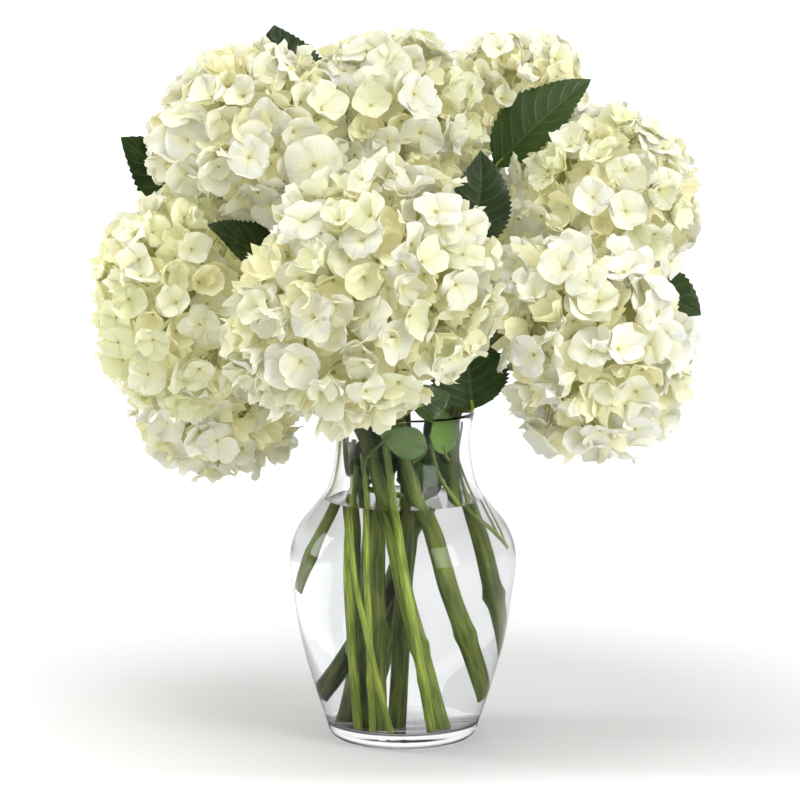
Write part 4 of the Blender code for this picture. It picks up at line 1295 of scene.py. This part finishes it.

# %% [markdown]
# ## The setting
#
# The vase stands on a plain white floor under soft studio light. An even white surround gives the bright
# clean look and lets the glass show by what it bends. One large soft light above draws a soft shadow below
# the bouquet, and two tall windows stand beside it. The bright patches that they put on glass are far
# stronger than the light that they give, so a brighter pane stands in each window, which only mirrors see.
# The floor runs on to where it meets the surround, so it glows a little out there and turns as white as the
# surround. Just in front of the vase a painted light lifts the bouquet's shadow off the floor, and under the
# foot a painted glow stands in for the light that the glass gathers there.

# %% Floor, lights and surround
AMBIENT = 0.86


def seen_shade(tree, bright, surround, ahead, above, reach):
    """The surround seen straight or through glass, as light, and in mirrors, where it is dark in front."""
    path = node(tree, "ShaderNodeLightPath").outputs
    straight = maths(tree, "MAXIMUM", path["Is Camera Ray"], path["Is Transmission Ray"])
    shade = blended(tree, straight, surround, bright)
    mirrored = maths(tree, "MINIMUM", path["Glossy Depth"], 1.0)
    level = ranged(tree, maths(tree, "MAXIMUM", ahead, above), 0.0, reach, 0.20, 0.85)
    return blended(tree, mirrored, shade, grey(tree, level)), straight


floor_mesh = bpy.data.meshes.new("studio_floor")
reach = 30.0
corners = [(-reach, -reach, 0), (reach, -reach, 0), (reach, reach, 0), (-reach, reach, 0)]
floor_mesh.from_pydata(corners, [], [[0, 1, 2, 3]])
floor = bpy.data.objects.new("studio_floor", floor_mesh)
bpy.context.scene.collection.objects.link(floor)
white, tree, shader = material("white floor", Roughness=0.8, Specular_IOR_Level=0.2)
spot = own_place(tree)
shade, _ = mottled(tree, spot, 1.5, (0.73, 0.73, 0.735), (0.72, 0.72, 0.725))
ahead = parted(tree, spot)
shade, straight = seen_shade(tree, shade, shade, ahead["Y"], ahead["Z"], 0.25)
tree.links.new(shade, shader.inputs["Base Color"])
away = node(tree, "ShaderNodeVectorMath", {0: spot}, operation="LENGTH").outputs["Value"]
painted_glow = maths(tree, "ADD", ranged(tree, away, 0.20, 0.60, 0.0, 0.26), ranged(tree, away, 0.6, 2.0, 0.0, 0.30))
# Painted light in front of the vase, lifting the bouquet's shadow off the floor there.
painted_glow = maths(tree, "ADD", painted_glow, ranged(tree, ahead["Y"], -0.08, -0.16, 0.0, 0.25))
# Painted glow under the vase's foot, standing in for the light that the glass gathers there.
painted_glow = maths(tree, "ADD", painted_glow, ranged(tree, away, 0.046, 0.036, 0.0, 0.40))
painted_glow = maths(tree, "MULTIPLY", painted_glow, straight)
shader.inputs["Emission Strength"].default_value = 1.0
tree.links.new(grey(tree, painted_glow), shader.inputs["Emission Color"])
floor_mesh.materials.append(white)
floor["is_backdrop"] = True


def soft_light(name, place, target, width, height, power, colour=(1, 1, 1), lights=True):
    """A rectangular soft light that looks at target, and isn't seen itself."""
    light = bpy.data.lights.new(name, "AREA")
    light.shape = "RECTANGLE"
    light.size, light.size_y = width, height
    light.energy = power
    light.color = colour
    thing = bpy.data.objects.new(name, light)
    thing.location = place
    thing.rotation_euler = (Vector(target) - Vector(place)).to_track_quat("-Z", "Y").to_euler()
    thing.visible_camera = False
    thing.visible_diffuse = lights
    bpy.context.scene.collection.objects.link(thing)


soft_light("overhead", (-0.15, -0.30, 1.75), (0, 0, 0.2), 0.8, 0.6, 8.0, (1.0, 0.985, 0.96))
WINDOWS = {
    "right": ((1.15, -1.10, 0.75), 0.75, 0.95, 13.0, 140.0),
    "left": ((-1.35, 0.25, 0.70), 0.45, 0.90, 8.0, 85.0),
}
for side, (place, width, height, power, mirrored) in WINDOWS.items():
    soft_light("window_" + side, place, (0, 0, 0.2), width, height, power)
    soft_light("pane_" + side, place, (0, 0, 0.2), width, height, mirrored, lights=False)

world = bpy.data.worlds.new("white surround")
bpy.context.scene.world = world
world.use_nodes = True
tree = world.node_tree
ahead = parted(tree, own_place(tree, "Generated"))
above = maths(tree, "SUBTRACT", ahead["Z"], 0.3)
shade, _ = seen_shade(tree, (1.0, 1.0, 1.0), (AMBIENT, AMBIENT, AMBIENT), ahead["Y"], above, 0.7)
tree.links.new(shade, tree.nodes["Background"].inputs["Color"])
tree.nodes["Background"].inputs["Strength"].default_value = 1.0
bpy.context.scene.view_settings.view_transform = "Standard"
print("lights:", len(bpy.data.lights))

# %% [markdown]
# ## The camera
#
# The photo was taken a little above the bouquet with a long lens, so the vase's rim and foot show as thin
# ovals.

# %% Place the camera
camera = bpy.data.cameras.new("photo_camera")
camera.lens = 135
camera.sensor_width = 36
viewer = bpy.data.objects.new("photo_camera", camera)
viewer.location = (-0.0018, -1.8, 0.45)
viewer.rotation_euler = (math.radians(90 - 7.7), 0, 0)
bpy.context.scene.collection.objects.link(viewer)
bpy.context.scene.camera = viewer
print("camera at", tuple(viewer.location))

# %% Check the size and finish
look_box = [[float(c) for c in corner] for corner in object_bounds()]
growth = [round(1000 * (look_box[1][i] - cad_box[1][i]), 1) for i in range(3)]
shrink = [round(1000 * (cad_box[0][i] - look_box[0][i]), 1) for i in range(3)]
total = sum(triangles(thing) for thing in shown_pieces() if thing.type == "MESH")
print("past the model's box in mm: high side", growth, "low side", shrink, "triangles:", total)
